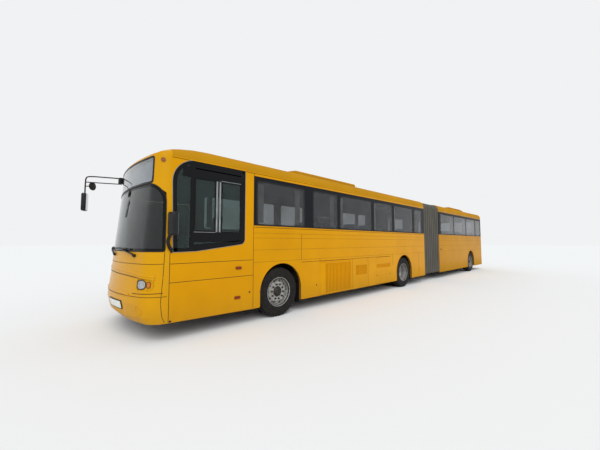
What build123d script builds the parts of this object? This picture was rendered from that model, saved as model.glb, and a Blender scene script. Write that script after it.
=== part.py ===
from build123d import *
from math import atan2, cos, radians, sin
import os

# An articulated single-deck bus: a front section with a floor-mounted engine between its axles,
# and a rear section carried on one axle, hinged at a turntable inside a folding gangway.
# X points forward, Y to the left and Z up, in millimetres, with the road at Z 0.

os.makedirs("parts", exist_ok=True)

# Body outline
HALF = 1275  # half of the body's width
NOSE_X = 8900  # foremost point of the bumper
CORNER_X = 8330  # front end of the side walls, where the nose panels begin
MODULE_X = 6780  # seam behind the driver's window
FRONT_END_X = -1130  # rear end of the front section
REAR_START_X = -2640  # front end of the rear section
TAIL_CORNER_X = -9000  # rear end of the side walls
SKIRT_Z = 270
NOSE_LOW_Z = 300  # the skirt rises to this at the nose
EAVE_Z = 2935  # where the straight wall ends and the roof's rounding begins
ROOF_RISE = 315  # from the eave to the crown of the roof
COVE_R = 240  # rounding between wall and roof
WALL = 60
ROOF_SKIN = 60
NOSE_SKIN = 45
ROOF_TOP_Z = EAVE_Z + ROOF_RISE
# The roof falls towards the nose. X and the rise from the eave to the crown there
CAP_ROWS = [(7700, ROOF_RISE), (7950, 292), (8190, 233), (CORNER_X, 180), (8430, 115), (8530, 45), (8680, 25)]

# Running gear
AXLE_1_X = 6106
AXLE_2_X = 560
AXLE_3_X = -6980
TYRE_R = 510
TYRE_W = 290
TYRE_CORNER = 45  # rounding of the tread's edge
SHOULDER_IN = 9  # the tyre's side lies this far in below that rounding
SHOULDER_CUT = 16  # and its corner is cut back by this
BEAD_R = 300  # where the tyre sits on the rim
RIM_R = 276
SINGLE_Y = 1105  # middle of a single tyre
TWIN_OUTER_Y = 1095  # middle of the outer tyre of a pair
TWIN_SPACING = 332
KINGPIN_Y = 1000
AXLE_Z = TYRE_R
ARCH_R = 565
ARCH_CENTRE_Z = 550
ARCH_1_X = 6060  # the front arch stands a little behind its wheel's middle
WHEEL_BOX_HALF = 620  # half length of the wheel housing
WHEEL_BOX_TOP = 1150
WHEEL_BOX_IN = 570  # its inner wall, from the middle
SHEET = 12  # plate of the wheel housings and step wells

# Frame and floor
FLOOR_Z = 1000
FLOOR_T = 40
BEAM_Y = 330
BEAM_W = 70
BEAM_TOP = 860
BEAM_H = 220
BEAM_LOW = BEAM_TOP - BEAM_H
FLOOR_UNDER = FLOOR_Z - FLOOR_T
BEARER_W = 60
FLOOR_GAP = 5  # between the floor's edge and the side walls
FIT = 0.3  # between curved pieces that seat on each other
PIN_FIT = 0.05  # radial play of a hinge pin
SEAM = 5  # joint between a lid or leaf and the panel round it

# Turntable at the pivot
PIVOT_X = (FRONT_END_X + REAR_START_X) / 2
RING_R = 600
RING_WALL = 130
RING_T = 70
RING_SPLIT_Z = 780
GANGWAY_R = 700
BELLOWS_INSET = 25  # bellows stand this far inside the body's outline
BELLOWS_FOLDS = 12
FOLD_DEPTH = 70
BELLOWS_SKIN = 8
BELLOWS_LOW_Z = 275

# Doors on the right-hand side
DOOR_LOW_Z = 335
DOOR_HIGH_Z = 2500
LEAF_T = 40
PANE_T = 8
DOOR_SEAM = 8
POST_IN = 95  # door post's axis behind the outer skin
POST_ALONG = 45  # and along the doorway from its edge
POST_R = 20
POST_PIN_R = 12
POST_Y = -HALF + POST_IN
HEADER_HALF = 35  # bracket over the doorway that holds the post's upper pin
HEADER_IN = 30
HEADER_GAP = 12
HEADER_T = 30
ARM_RISE = 15  # arm's far pivot lies this much further in than the post
ARM_W = 24
ARM_T = 20
ARM_PIN_R = 8
DOOR_OPEN = 150  # degrees that the post turns
KNEE_OUT = (-15, -140)  # the arm's knee with the door open, along and out from the post
ARM_LEVELS = (520, 2450)
STEP_TREAD = 275
STEP_LOW_Z = 350
STEP_T = 20

# Tables of what is spread along the body. Windows: low X, high X
LEFT_FRONT_PANES = [(5408, 6688), (4209, 5089), (2609, 4072), (1368, 2444), (-126, 1214), (-901, -292)]
RIGHT_FRONT_PANES = [(5408, 6688), (4209, 5089), (2609, 4072), (-126, 1214), (-901, -292)]
LEFT_REAR_PANES = [(-4490, -2861), (-6288, -4559), (-7875, -6371), (-8850, -7971)]
RIGHT_REAR_PANES = [(-4490, -2861), (-7875, -6371), (-8850, -7971)]
PANE_LOW_Z = 1915
PANE_HIGH_Z = 2760
PANE_R = 70
GLASS_T = 6
GLASS_LAP = 30  # glass beyond the edge of its opening
# Driver's window: low front, high front, high rear, low rear and a bend in its lower edge
DRIVER_PANE = [(8284, 1392), (8332, 2928), (6980, 2928), (6980, 1522), (7900, 1402)]
DRIVER_CORNER_R = 390
DRIVER_HEEL_R = 100  # its low rear corner
DRIVER_LAP = 60  # its glass beyond its opening

# Doors: name, section, doorway low X, doorway high X, leaves as (label, hung at the high end)
FRONT_DOOR = ("front_door", 7050, 8200, [("rear", False), ("front", True)])
MIDDLE_DOOR = ("middle_door", 1500, 2320, [("leaf", True)])
REAR_DOOR = ("rear_door", -6100, -5280, [("leaf", True)])

# Lids in the side walls: low X, high X, low Z, high Z
GRILLE_FLAP = (3613, 4875, 285, 1100)
LEFT_LID = (1500, 2377, 285, 1100)
RIGHT_LID = (3250, 4650, 285, 1100)
LID_T = 30
FLAP_PROUD = 30  # the grille flap's face stands out this far
FLAP_BEVEL = 100  # length of the slope at its front end
FLAP_DROP = 25  # its proud part starts this far below the hinge
LID_PIN_IN = 15  # hinge axis below the lid's top edge and behind its face
LID_PIN_R = 6
LID_PIN_L = 15
LID_TOP_SEAM = 12

# Rows of upright slots: first slot X, number, low Z, high Z
FLAP_SLOTS = (3640, 20, 315, 1025)
LEFT_SLOTS = (1545, 15, 765, 880)
WALL_SLOTS = (2895, 10, 639, 901)
SLOT_PITCH = 55
SLOT_W = 30
SLOT_DEPTH = 18

# Roof hatch: middle X, half length, half width
HATCH = (1900, 400, 350)
HATCH_T = 30
HATCH_RIM = 40

# Nose: height, bow ahead of the corner. The bow is deepest at the bumper
NOSE_ROWS = [(NOSE_LOW_Z, 420), (400, 520), (600, NOSE_X - CORNER_X), (700, 562), (1000, 522), (1200, 505),
             (1400, 490), (2550, 365), (2930, 345), (2970, 330), (EAVE_Z + ROOF_RISE, 250)]
BOW_SHARE = 0.70  # corner radius of the nose and tail as a share of their bow
BUMPER_TOP_Z = 712
SCREEN_LOW_Z = 1405
SCREEN_HIGH_Z = 2478
# Upper corner of the windscreen seen from the front: lateral and Z at its lower end, middle and upper end
SCREEN_CORNER = [(HALF, 2180), (1230, 2392), (1055, SCREEN_HIGH_Z)]
SCREEN_BACK = 68  # where the glass stops ahead of the corner
SIGN_LOW_Z = 2490
SIGN_HIGH_Z = 2925
SIGN_HALF = 1130
SIGN_R = 40

# Tail: height, bow behind the corner
TAIL_ROWS = [(SKIRT_Z, 140), (620, 200), (1200, 180), (1880, 140), (2870, 115), (3080, 100), (ROOF_TOP_Z, 60)]
TAIL_WINDOW = (1000, 1960, 2760)  # half width, low Z, high Z


def write(piece, label):
    """Name a finished piece and store it."""
    piece.label = label
    export_step(piece, f"parts/{label}.step")


def bow_points(half, depth, corner):
    """Side, corner middle, shoulder and crown of a bow: a wide arc between two tangent roundings."""
    across = half - corner
    big = (across**2 + depth**2 - corner**2) / (2 * (depth - corner))
    lean = atan2(big - depth, across)
    turn = (across + corner * cos(lean / 2), corner * sin(lean / 2))
    shoulder = (across + corner * cos(lean), corner * sin(lean))
    return (half, 0), turn, shoulder, (0, depth)


def bow_sketch(half, depth, corner, tail=0.0):
    """Closed area under a bow, with straight sides of length tail below it."""
    side, turn, shoulder, crown = bow_points(half, depth, corner)
    with BuildSketch() as area:
        with BuildLine():
            ThreePointArc(side, turn, shoulder)
            ThreePointArc(shoulder, crown, (-shoulder[0], shoulder[1]))
            ThreePointArc((-shoulder[0], shoulder[1]), (-turn[0], turn[1]), (-side[0], side[1]))
            if tail:
                Polyline((-half, 0), (-half, -tail), (half, -tail), (half, 0))
            else:
                Line((-half, 0), (half, 0))
        make_face()
    return area.sketch


def end_loft(x, direction, rows, half, skin, tail):
    """Solid under a stack of bows. direction is 1 at the nose and -1 at the tail."""
    with BuildPart() as body:
        for height, bow in rows:
            plane = Plane(origin=(x, 0, height), x_dir=(0, -direction, 0), z_dir=(0, 0, 1))
            depth = bow - skin
            corner = BOW_SHARE * depth
            with BuildSketch(plane):
                add(bow_sketch(half - skin, depth, corner, tail))
        loft(ruled=True)
    return body.part


def row_at(rows, place):
    """Value of a table of rows at a place between two of them."""
    for (low, first), (high, second) in zip(rows, rows[1:]):
        if low <= place <= high:
            return first + (second - first) * (place - low) / (high - low)
    return rows[0][1] if place < rows[0][0] else rows[-1][1]


def near_rows(rows, low, high):
    """The part of a table between two places, with a row added at each."""
    between = [row for row in rows if low < row[0] < high]
    return [(low, row_at(rows, low)), *between, (high, row_at(rows, high))]


def body_form(x_low, x_high, inset, low_z):
    """The body's cross-section from low_z to the roof, moved in and down by inset, between two X."""
    cap_start = CAP_ROWS[0][0]
    with BuildPart() as form:
        if x_low < cap_start:
            with BuildSketch(Plane.YZ.offset(x_low)):
                with Locations((0, EAVE_Z - inset)):
                    add(bow_sketch(HALF - inset, ROOF_RISE, COVE_R, EAVE_Z - inset - low_z))
            extrude(amount=min(x_high, cap_start) - x_low)
        if x_high > cap_start:
            with BuildPart() as cap:
                for x, rise in near_rows(CAP_ROWS, max(x_low, cap_start), x_high):
                    with BuildSketch(Plane.YZ.offset(x)):
                        with Locations((0, EAVE_Z - inset)):
                            corner = COVE_R * rise / ROOF_RISE
                            add(bow_sketch(HALF - inset, rise, corner, EAVE_Z - inset - low_z))
                loft(ruled=True)
            add(cap.part)
    return form.part


def opened(rows, skin):
    """The rows of a shell's inner face, carried on below its open edge."""
    return [(rows[0][0] - skin, rows[0][1]), *rows[1:]]


def box(x_span, y_span, z_span, mode=Mode.ADD):
    """A block between two corners given in any order, for use inside a part block."""
    spans = [sorted(span) for span in (x_span, y_span, z_span)]
    with Locations(tuple((low + high) / 2 for low, high in spans)):
        Box(*(high - low for low, high in spans), mode=mode)


def cut_box(x_span, y_span, z_span):
    """The same block, taken away."""
    box(x_span, y_span, z_span, Mode.SUBTRACT)


# Side walls


def side_plane(side, inward=0.0):
    """Plane of the outer skin of one side, seen with X along and Z up, moved inward."""
    return Plane.XZ.offset(-side * (HALF - inward))


def pane_openings(panes, grow=0.0):
    """Rounded rectangles of the window openings, grown on every side."""
    for low, high in panes:
        with Locations(((low + high) / 2, (PANE_LOW_Z + PANE_HIGH_Z) / 2)):
            RectangleRounded(high - low + 2 * grow, PANE_HIGH_Z - PANE_LOW_Z + 2 * grow, PANE_R, mode=Mode.SUBTRACT)


def lid_hole(lid):
    """Opening of a lid in its wall."""
    low, high, bottom, top = lid
    with Locations(((low + high) / 2, (bottom + top) / 2)):
        Rectangle(high - low, top - bottom, mode=Mode.SUBTRACT)


def wheel_arch(middle_x):
    """Opening over a wheel: a half circle on straight sides."""
    with Locations((middle_x, ARCH_CENTRE_Z)):
        Circle(ARCH_R, mode=Mode.SUBTRACT)
    with Locations((middle_x, ARCH_CENTRE_Z / 2)):
        Rectangle(2 * ARCH_R, ARCH_CENTRE_Z, mode=Mode.SUBTRACT)


def driver_outline(grow):
    """Driver's window: a deep rounded front corner, a bottom edge that falls forward."""
    with BuildSketch() as area:
        with BuildLine():
            Polyline(*DRIVER_PANE, DRIVER_PANE[0])
        make_face()
        fillet(area.vertices().sort_by_distance(DRIVER_PANE[1])[0], DRIVER_CORNER_R)
        fillet(area.vertices().sort_by_distance(DRIVER_PANE[3])[0], DRIVER_HEEL_R)
        if grow:
            offset(amount=grow, kind=Kind.INTERSECTION)
    return area.sketch


def slot_bars(side, row, proud):
    """The row of upright bars that cuts slots into a face of the side."""
    first, number, low_z, high_z = row
    with BuildPart() as bars:
        with BuildSketch(side_plane(side, -proud)):
            for count in range(number):
                with Locations((first + count * SLOT_PITCH, (low_z + high_z) / 2)):
                    Rectangle(SLOT_W, high_z - low_z)
        extrude(amount=side * SLOT_DEPTH)
    return bars.part


def posts(door):
    """X of the axis of each of a doorway's posts, and the way its leaf reaches from there."""
    label, low, high, leaves = door
    return [(high - POST_ALONG, -1) if at_high else (low + POST_ALONG, 1) for leaf, at_high in leaves]


def side_wall(side, span, arches, panes, doors, lids, driver, slots):
    """One side wall: a thick panel with its arches, windows, doorways, lids, slots and rebates for the glass."""
    bend = min(MODULE_X, span[1])
    end_low = NOSE_LOW_Z if span[1] > MODULE_X else SKIRT_Z
    outline = [(span[0], EAVE_Z), (span[0], SKIRT_Z), (bend, SKIRT_Z), (span[1], end_low), (span[1], EAVE_Z)]
    with BuildPart() as wall:
        with BuildSketch(side_plane(side)):
            with BuildLine():
                Polyline(*dict.fromkeys(outline), outline[0])
            make_face()
            for middle_x in arches:
                wheel_arch(middle_x)
            for label, low, high, leaves in doors:
                with Locations(((low + high) / 2, (DOOR_LOW_Z - DOOR_SEAM + DOOR_HIGH_Z + DOOR_SEAM) / 2)):
                    Rectangle(high - low, DOOR_HIGH_Z - DOOR_LOW_Z + 2 * DOOR_SEAM, mode=Mode.SUBTRACT)
                with Locations(((low + high) / 2, (SKIRT_Z + DOOR_LOW_Z) / 2)):
                    Rectangle(high - low, DOOR_LOW_Z - SKIRT_Z, mode=Mode.SUBTRACT)
            pane_openings(panes)
            for lid in lids:
                lid_hole(lid)
            if driver:
                add(driver_outline(-DRIVER_LAP), mode=Mode.SUBTRACT)
        extrude(amount=side * WALL)
        with BuildSketch(side_plane(side)) as rebate:
            for low, high in panes:
                with Locations(((low + high) / 2, (PANE_LOW_Z + PANE_HIGH_Z) / 2)):
                    RectangleRounded(high - low + 2 * GLASS_LAP, PANE_HIGH_Z - PANE_LOW_Z + 2 * GLASS_LAP, PANE_R)
            if driver:
                add(driver_outline(0))
        extrude(rebate.sketch, amount=side * GLASS_T, mode=Mode.SUBTRACT)
        for row in slots:
            add(slot_bars(side, row, 0), mode=Mode.SUBTRACT)
        for low, high, bottom, top in lids:
            with Locations((0, side * (HALF - LID_PIN_IN), top - LID_TOP_SEAM - LID_PIN_IN)):
                with Locations((low, 0, 0), (high, 0, 0)):
                    Cylinder(LID_PIN_R + PIN_FIT, 2 * LID_PIN_L, rotation=(0, 90, 0), mode=Mode.SUBTRACT)
        for door in doors:
            for x, way in posts(door):
                box((x - HEADER_HALF, x + HEADER_HALF), (-HALF + WALL / 2, POST_Y + HEADER_IN),
                    (DOOR_HIGH_Z + HEADER_GAP, DOOR_HIGH_Z + HEADER_GAP + HEADER_T))
                with Locations((x, POST_Y, DOOR_HIGH_Z + HEADER_GAP)):
                    Cylinder(POST_PIN_R + PIN_FIT, 3 * HEADER_T, mode=Mode.SUBTRACT)
    return wall.part


def side_glass(sides):
    """Window panes let into the band. sides holds pairs of side and panes."""
    with BuildPart() as glass:
        for side, panes in sides:
            with BuildSketch(side_plane(side)):
                for low, high in panes:
                    with Locations(((low + high) / 2, (PANE_LOW_Z + PANE_HIGH_Z) / 2)):
                        lap = GLASS_LAP - FIT
                        RectangleRounded(high - low + 2 * lap, PANE_HIGH_Z - PANE_LOW_Z + 2 * lap, PANE_R - FIT)
            extrude(amount=side * GLASS_T)
    return glass.part


front_span = (FRONT_END_X, CORNER_X)
rear_span = (TAIL_CORNER_X, REAR_START_X)

left_lids = [GRILLE_FLAP, LEFT_LID]
front_arches = [ARCH_1_X, AXLE_2_X]
front_doors = [FRONT_DOOR, MIDDLE_DOOR]
write(side_wall(1, front_span, front_arches, LEFT_FRONT_PANES, [], left_lids, True, [WALL_SLOTS]), "front_left_wall")
write(side_wall(-1, front_span, front_arches, RIGHT_FRONT_PANES, front_doors, [RIGHT_LID], False, []),
      "front_right_wall")
write(side_wall(1, rear_span, [AXLE_3_X], LEFT_REAR_PANES, [], [], False, []), "rear_left_wall")
write(side_wall(-1, rear_span, [AXLE_3_X], RIGHT_REAR_PANES, [REAR_DOOR], [], False, []), "rear_right_wall")
write(side_glass([(1, LEFT_FRONT_PANES), (-1, RIGHT_FRONT_PANES)]), "front_side_glass")

with BuildPart() as driver_window:
    with BuildSketch(side_plane(1)):
        add(driver_outline(-FIT))
    extrude(amount=GLASS_T)
write(driver_window.part, "driver_window")

# Roofs


def roof(x_low, x_high, hatches):
    """Roof skin from eave to eave, open below, with its hatch openings."""
    with BuildPart() as shell:
        add(body_form(x_low, x_high, 0, EAVE_Z - 1))
        add(body_form(x_low - 1, x_high + 1, ROOF_SKIN, EAVE_Z - ROOF_SKIN - 2), mode=Mode.SUBTRACT)
        cut_box((x_low - 1, x_high + 1), (-HALF, HALF), (EAVE_Z - 3, EAVE_Z))
        for middle, half_length, half_width in hatches:
            cut_box((middle - half_length, middle + half_length), (-half_width, half_width),
                    (EAVE_Z, ROOF_TOP_Z + 1))
    return shell.part


HATCH_LUG_Y = 180
HATCH_LUG_T = 20
HATCH_LUG_HALF = 16
HATCH_LUG_DROP = 5  # lugs stay this far below the lid
HATCH_LID_LAP = 8  # lid beyond its collar
HATCH_EAR_T = 14
HATCH_HINGE_OUT = 38  # hinge axis ahead of the hatch's opening
HATCH_HINGE_X = HATCH[0] + HATCH[1] + HATCH_HINGE_OUT
HATCH_HINGE_Z = ROOF_TOP_Z + HATCH_T + 12


def hatch_collar(hatch):
    """Upstand round a hatch, with two bored lugs ahead of it for the lid's pins."""
    middle, half_length, half_width = hatch
    with BuildPart() as collar:
        with BuildSketch(Plane.XY.offset(ROOF_TOP_Z - ROOF_SKIN)):
            with Locations((middle, 0)):
                Rectangle(2 * half_length, 2 * half_width)
                Rectangle(2 * (half_length - HATCH_RIM), 2 * (half_width - HATCH_RIM), mode=Mode.SUBTRACT)
        extrude(amount=ROOF_SKIN + HATCH_T)
        for side in (1, -1):
            inner, outer = side * HATCH_LUG_Y, side * (HATCH_LUG_Y + HATCH_LUG_T)
            box((HATCH_HINGE_X - HATCH_RIM, HATCH_HINGE_X + HATCH_LUG_HALF), (inner, outer),
                (ROOF_TOP_Z - ROOF_SKIN / 2, ROOF_TOP_Z + HATCH_T - HATCH_LUG_DROP))
            box((HATCH_HINGE_X - HATCH_LUG_HALF, HATCH_HINGE_X + HATCH_LUG_HALF), (inner, outer),
                (ROOF_TOP_Z, HATCH_HINGE_Z + HATCH_LUG_HALF))
            with Locations((HATCH_HINGE_X, (inner + outer) / 2, HATCH_HINGE_Z)):
                Cylinder(LID_PIN_R + PIN_FIT, 2 * HATCH_LUG_T, rotation=(90, 0, 0), mode=Mode.SUBTRACT)
    return collar.part


with BuildPart() as front_roof:
    add(roof(FRONT_END_X, CORNER_X, [HATCH]))
    add(hatch_collar(HATCH))
write(front_roof.part, "front_roof")
write(roof(TAIL_CORNER_X, REAR_START_X, []), "rear_roof")

with BuildPart() as front_hatch:
    reach = HATCH[1] + HATCH_LID_LAP
    lid_low = ROOF_TOP_Z + HATCH_T + FIT
    box((HATCH[0] - reach, HATCH[0] + reach), (-HATCH[2] - HATCH_LID_LAP, HATCH[2] + HATCH_LID_LAP),
        (lid_low, lid_low + HATCH_T))
    fillet(front_hatch.edges().filter_by(Axis.Z), HATCH_T)
    fillet(front_hatch.faces().sort_by(Axis.Z)[-1].edges(), HATCH_T / 3)
    for side in (1, -1):
        near = side * (HATCH_LUG_Y + HATCH_LUG_T + 2)
        far = near + side * HATCH_EAR_T
        box((HATCH[0] + HATCH[1] - HATCH_RIM, HATCH_HINGE_X), (near, far), (lid_low, HATCH_HINGE_Z + HATCH_LUG_HALF))
        with Locations((HATCH_HINGE_X, (near + far) / 2, HATCH_HINGE_Z)):
            Cylinder(HATCH_LUG_HALF - 4, HATCH_EAR_T, rotation=(90, 0, 0))
        with Locations((HATCH_HINGE_X, far - side * (HATCH_EAR_T + HATCH_LUG_T) / 2, HATCH_HINGE_Z)):
            Cylinder(LID_PIN_R, HATCH_EAR_T + HATCH_LUG_T, rotation=(90, 0, 0))
write(front_hatch.part, "front_hatch")

# Pods on the roof, seated on its curve. X of the four corners of each from rear to front, and height

FRONT_POD = (2560, 2620, 5100, 5550)
REAR_POD = (-8150, -7400, -5750, -5500)
POD_HALF = 700
POD_TOP_Z = 3390
POD_LIP = 20  # height of a pod's sloping end where it meets the roof
POD_ROUND = 45


def roof_pod(corners):
    """A flat cowl with sloping ends, following the roof underneath."""
    x_low, x_low_top, x_high_top, x_high = corners
    with BuildPart() as pod:
        with BuildSketch(Plane.XZ.offset(-POD_HALF)):
            with BuildLine():
                Polyline((x_low, EAVE_Z + COVE_R), (x_low, ROOF_TOP_Z + POD_LIP), (x_low_top, POD_TOP_Z),
                         (x_high_top, POD_TOP_Z), (x_high, ROOF_TOP_Z + POD_LIP), (x_high, EAVE_Z + COVE_R),
                         (x_low, EAVE_Z + COVE_R))
            make_face()
        extrude(amount=2 * POD_HALF)
        fillet(pod.edges().filter_by(Axis.X).group_by(Axis.Z)[-1], POD_ROUND)
        add(body_form(x_low - WALL, x_high + WALL, 0, EAVE_Z), mode=Mode.SUBTRACT)
    return pod.part


write(roof_pod(FRONT_POD), "front_roof_pod")
write(roof_pod(REAR_POD), "rear_roof_pod")

# Nose: a curved shell, the bumper below it, the windscreen and the sign glass


def front_shapes(frames, start, depth):
    """Rounded rectangles seen from the front, carried forward from start. Each frame gives its
    middle Y, middle Z, width, height and corner radius."""
    with BuildPart() as shapes:
        with BuildSketch(Plane.YZ.offset(start)):
            for middle_y, middle_z, width, height, radius in frames:
                with Locations((middle_y, middle_z)):
                    RectangleRounded(width, height, radius)
        extrude(amount=depth)
    return shapes.part


def less(frames, gap):
    """The same frames, smaller by a gap all round."""
    return [(y, z, width - 2 * gap, height - 2 * gap, radius - gap) for y, z, width, height, radius in frames]


def spread(frames):
    """Lowest and highest Z that a set of frames reaches, with a little to spare."""
    low = min(z - height / 2 for y, z, width, height, radius in frames)
    high = max(z + height / 2 for y, z, width, height, radius in frames)
    return low - NOSE_SKIN, high + NOSE_SKIN


def screen_shape(gap):
    """Outline of the windscreen seen from the front, smaller by a gap, carried forward."""
    high = SCREEN_HIGH_Z - gap
    side, turn, top = [(lateral - gap, height - gap) for lateral, height in SCREEN_CORNER]
    with BuildPart() as shape:
        with BuildSketch(Plane.YZ.offset(SCREEN_START + gap)):
            with BuildLine():
                Polyline((-side[0], side[1]), (-side[0], SCREEN_LOW_Z + gap), (side[0], SCREEN_LOW_Z + gap), side)
                ThreePointArc(side, turn, (top[0], high))
                Line((top[0], high), (-top[0], high))
                ThreePointArc((-top[0], high), (-turn[0], turn[1]), (-side[0], side[1]))
            make_face()
        extrude(amount=END_DEPTH)
    return shape.part


def front_strip(start, end, width):
    """A straight strip seen from the front, for the wiper arms and blades."""
    with BuildPart() as strip:
        with BuildSketch(Plane.YZ.offset(SCREEN_START)):
            with BuildLine():
                Line(start, end)
            trace(line_width=width)
        extrude(amount=END_DEPTH)
    return strip.part


def layer(x, direction, rows, outer, inner):
    """Skin of the nose or tail between two depths below its surface. A negative depth lies outside it."""
    with BuildPart() as skin:
        add(end_loft(x, direction, rows, HALF, outer, 0))
        add(end_loft(x, direction, rows, HALF, inner, 0), mode=Mode.SUBTRACT)
    return skin.part


def both(first, second):
    """What two pieces have in common."""
    with BuildPart() as common:
        add(first)
        add(second, mode=Mode.INTERSECT)
    return common.part


SCREEN_START = CORNER_X + SCREEN_BACK
END_DEPTH = 900  # longer than the nose or tail is deep
LAMP_DEPTH = 25  # lamps are let this deep into the skin
LAMP_BACK = 2  # and their faces lie this far below it
POCKET_DEPTH = 12
# Lamps and their pockets seen from the front: middle Y, middle Z, width, height, corner radius
HEADLAMPS = [(side * 1055, 900, 140, 125, 50) for side in (1, -1)]
INDICATORS = [(side * 1165, 900, 35, 80, 12) for side in (1, -1)]
LAMP_POCKETS = [(side * 1090, 900, 250, 175, 55) for side in (1, -1)]
TAIL_LAMPS = [(side * 1130, z, 130, 130, 60) for side in (1, -1) for z in (780, 930, 1080, 2790)]
# Markers on the left side and on the rear section, X, Z, and on the upper nose corners, X, Z
SIDE_MARKERS = [(7107, 1073), (7124, 532)]
SIDE_MARKER_SIZE = (120, 50)
REAR_MARKER = (-2822, 1243)
CORNER_MARKER = (CORNER_X + 125, 2855)
MARKER_R = 34
MARKER_T = 14

sign_frame = [(0, (SIGN_LOW_Z + SIGN_HIGH_Z) / 2, 2 * SIGN_HALF, SIGN_HIGH_Z - SIGN_LOW_Z, SIGN_R)]

def hull(x, direction, rows, skin, tail, span):
    """The nose or tail, or its hollow: what its rows and the roof's curve have in common."""
    return both(end_loft(x, direction, rows, HALF, skin, tail), body_form(*span, skin, rows[0][0] - WALL))


with BuildPart() as nose:
    add(hull(CORNER_X, 1, NOSE_ROWS, 0, 0, (CORNER_X, NOSE_X + WALL)))
    hollow_rows = opened(NOSE_ROWS, NOSE_SKIN)
    hollow_span = (CORNER_X - WALL, NOSE_X + WALL)
    add(hull(CORNER_X, 1, hollow_rows, NOSE_SKIN, WALL, hollow_span), mode=Mode.SUBTRACT)
    add(screen_shape(0), mode=Mode.SUBTRACT)
    add(front_shapes(sign_frame, SCREEN_START, END_DEPTH), mode=Mode.SUBTRACT)

lamp_rows = near_rows(NOSE_ROWS, *spread(LAMP_POCKETS))
with BuildPart() as nose_shell:
    add(nose.part)
    split(bisect_by=Plane.XY.offset(BUMPER_TOP_Z), keep=Keep.TOP)
    for frames, deep in ((LAMP_POCKETS, POCKET_DEPTH), (HEADLAMPS + INDICATORS, LAMP_DEPTH)):
        let_in = layer(CORNER_X, 1, lamp_rows, -1, deep)
        add(both(let_in, front_shapes(frames, SCREEN_START, END_DEPTH)), mode=Mode.SUBTRACT)
write(nose_shell.part, "nose_shell")

with BuildPart() as front_bumper:
    add(nose.part)
    split(bisect_by=Plane.XY.offset(BUMPER_TOP_Z), keep=Keep.BOTTOM)
write(front_bumper.part, "front_bumper")

glass_rows = near_rows(NOSE_ROWS, SCREEN_LOW_Z - WALL, SIGN_HIGH_Z + GLASS_T)
glass_layer = layer(CORNER_X, 1, glass_rows, FIT, 2 * GLASS_T)
write(both(glass_layer, screen_shape(FIT)), "windscreen")
write(both(glass_layer, front_shapes(less(sign_frame, FIT), SCREEN_START, END_DEPTH)), "sign_glass")


def corner_marker(side):
    """Round marker lamp square to the nose's upper corner and cut to fit it."""
    x, z = CORNER_MARKER
    corner_r = BOW_SHARE * row_at(NOSE_ROWS, z)
    along = (x - CORNER_X) / corner_r
    across = (1 - along**2)**0.5
    seat = (x, side * (HALF - corner_r + corner_r * across), z)
    with BuildPart() as marker:
        with BuildSketch(Plane(origin=seat, z_dir=(along, side * across, 0))):
            Circle(MARKER_R)
        extrude(amount=MARKER_T, both=True)
        add(end_loft(CORNER_X, 1, near_rows(NOSE_ROWS, z - WALL, z + WALL), HALF, 0, 0), mode=Mode.SUBTRACT)
    return marker.part


with BuildPart() as front_lamps:
    lenses = front_shapes(less(HEADLAMPS + INDICATORS, FIT), SCREEN_START, END_DEPTH)
    add(both(layer(CORNER_X, 1, lamp_rows, LAMP_BACK, LAMP_DEPTH), lenses))
    with BuildSketch(side_plane(1)):
        with Locations(*SIDE_MARKERS):
            RectangleRounded(*SIDE_MARKER_SIZE, MARKER_T)
    extrude(amount=-MARKER_T)
    add(corner_marker(1))
    add(corner_marker(-1))
write(front_lamps.part, "front_lamps")

# Wipers: blades on the glass, arms over them, pivots on the panel below

WIPERS = [((850, 1338), (330, 1440)), ((-60, 1338), (-690, 1440))]  # pivot and blade middle, seen from the front
BLADE_HALF = 380
BLADE_W = 16
WIPER_ARM_W = 24
WIPER_STAND = 34  # arm's outer face above the glass
BLADE_STAND = 24  # the blade's, under the arm
PIVOT_R = 24

wiper_rows = near_rows(NOSE_ROWS, SCREEN_LOW_Z - 3 * WALL, SCREEN_LOW_Z + 3 * WALL)
with BuildPart() as wipers:
    blade_layer = layer(CORNER_X, 1, wiper_rows, -BLADE_STAND, 0)
    arm_layer = layer(CORNER_X, 1, wiper_rows, -WIPER_STAND, -WIPER_STAND / 2)
    foot_layer = layer(CORNER_X, 1, wiper_rows, -WIPER_STAND, 0)
    for pivot, middle in WIPERS:
        ends = [(middle[0] + end * BLADE_HALF, middle[1]) for end in (-1, 1)]
        add(both(blade_layer, front_strip(ends[0], ends[1], BLADE_W)))
        add(both(arm_layer, front_strip(pivot, middle, WIPER_ARM_W)))
        foot = (pivot[0], pivot[1], 2 * PIVOT_R, 2 * PIVOT_R, PIVOT_R - FIT)
        add(both(foot_layer, front_shapes([foot], SCREEN_START, END_DEPTH)))
write(wipers.part, "wipers")

# Mirrors: the right-hand head hangs ahead of the nose, the left-hand one stands by the corner pillar

MIRROR_SIZE = (90, 170, 370)
MIRROR_R = 22
TUBE_R = 13
RIGHT_HEAD = (9200, -1290, 2375)
RIGHT_YAW = -20  # degrees that a head turns from square to the driver
CLAMP = (8600, -1030, 2854)
CLAMP_SIZE = (140, 110, 135)
TUBE_TOP = [(8640, -1030, 2908), (9090, -1225, 2908), (9160, -1250, 2880), (9200, -1265, 2810)]
TUBE_LOW = [(8640, -1030, 2787), (9200, -1265, 2787)]
TUBE_DROP = [(9200, -1265, 2810), (9200, -1275, 2500)]
ROUND_HEAD = (9100, -1205, 2702)
ROUND_ARM = [(9200, -1270, 2702), (9115, -1220, 2702)]
ROUND_R = 87
ROUND_T = 46
ROUND_YAW = -45
LEFT_HEAD = (8327, 1375, 1843)
LEFT_YAW = 20
LEFT_FOOT = (8309, 1425)  # middle X and Z of the arm's foot
LEFT_FOOT_SIZE = (38, 18, 80)
LEFT_ARM = [(8309, 1290, 1425), (8385, 1345, 1545), (8345, 1375, 1690)]
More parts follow.
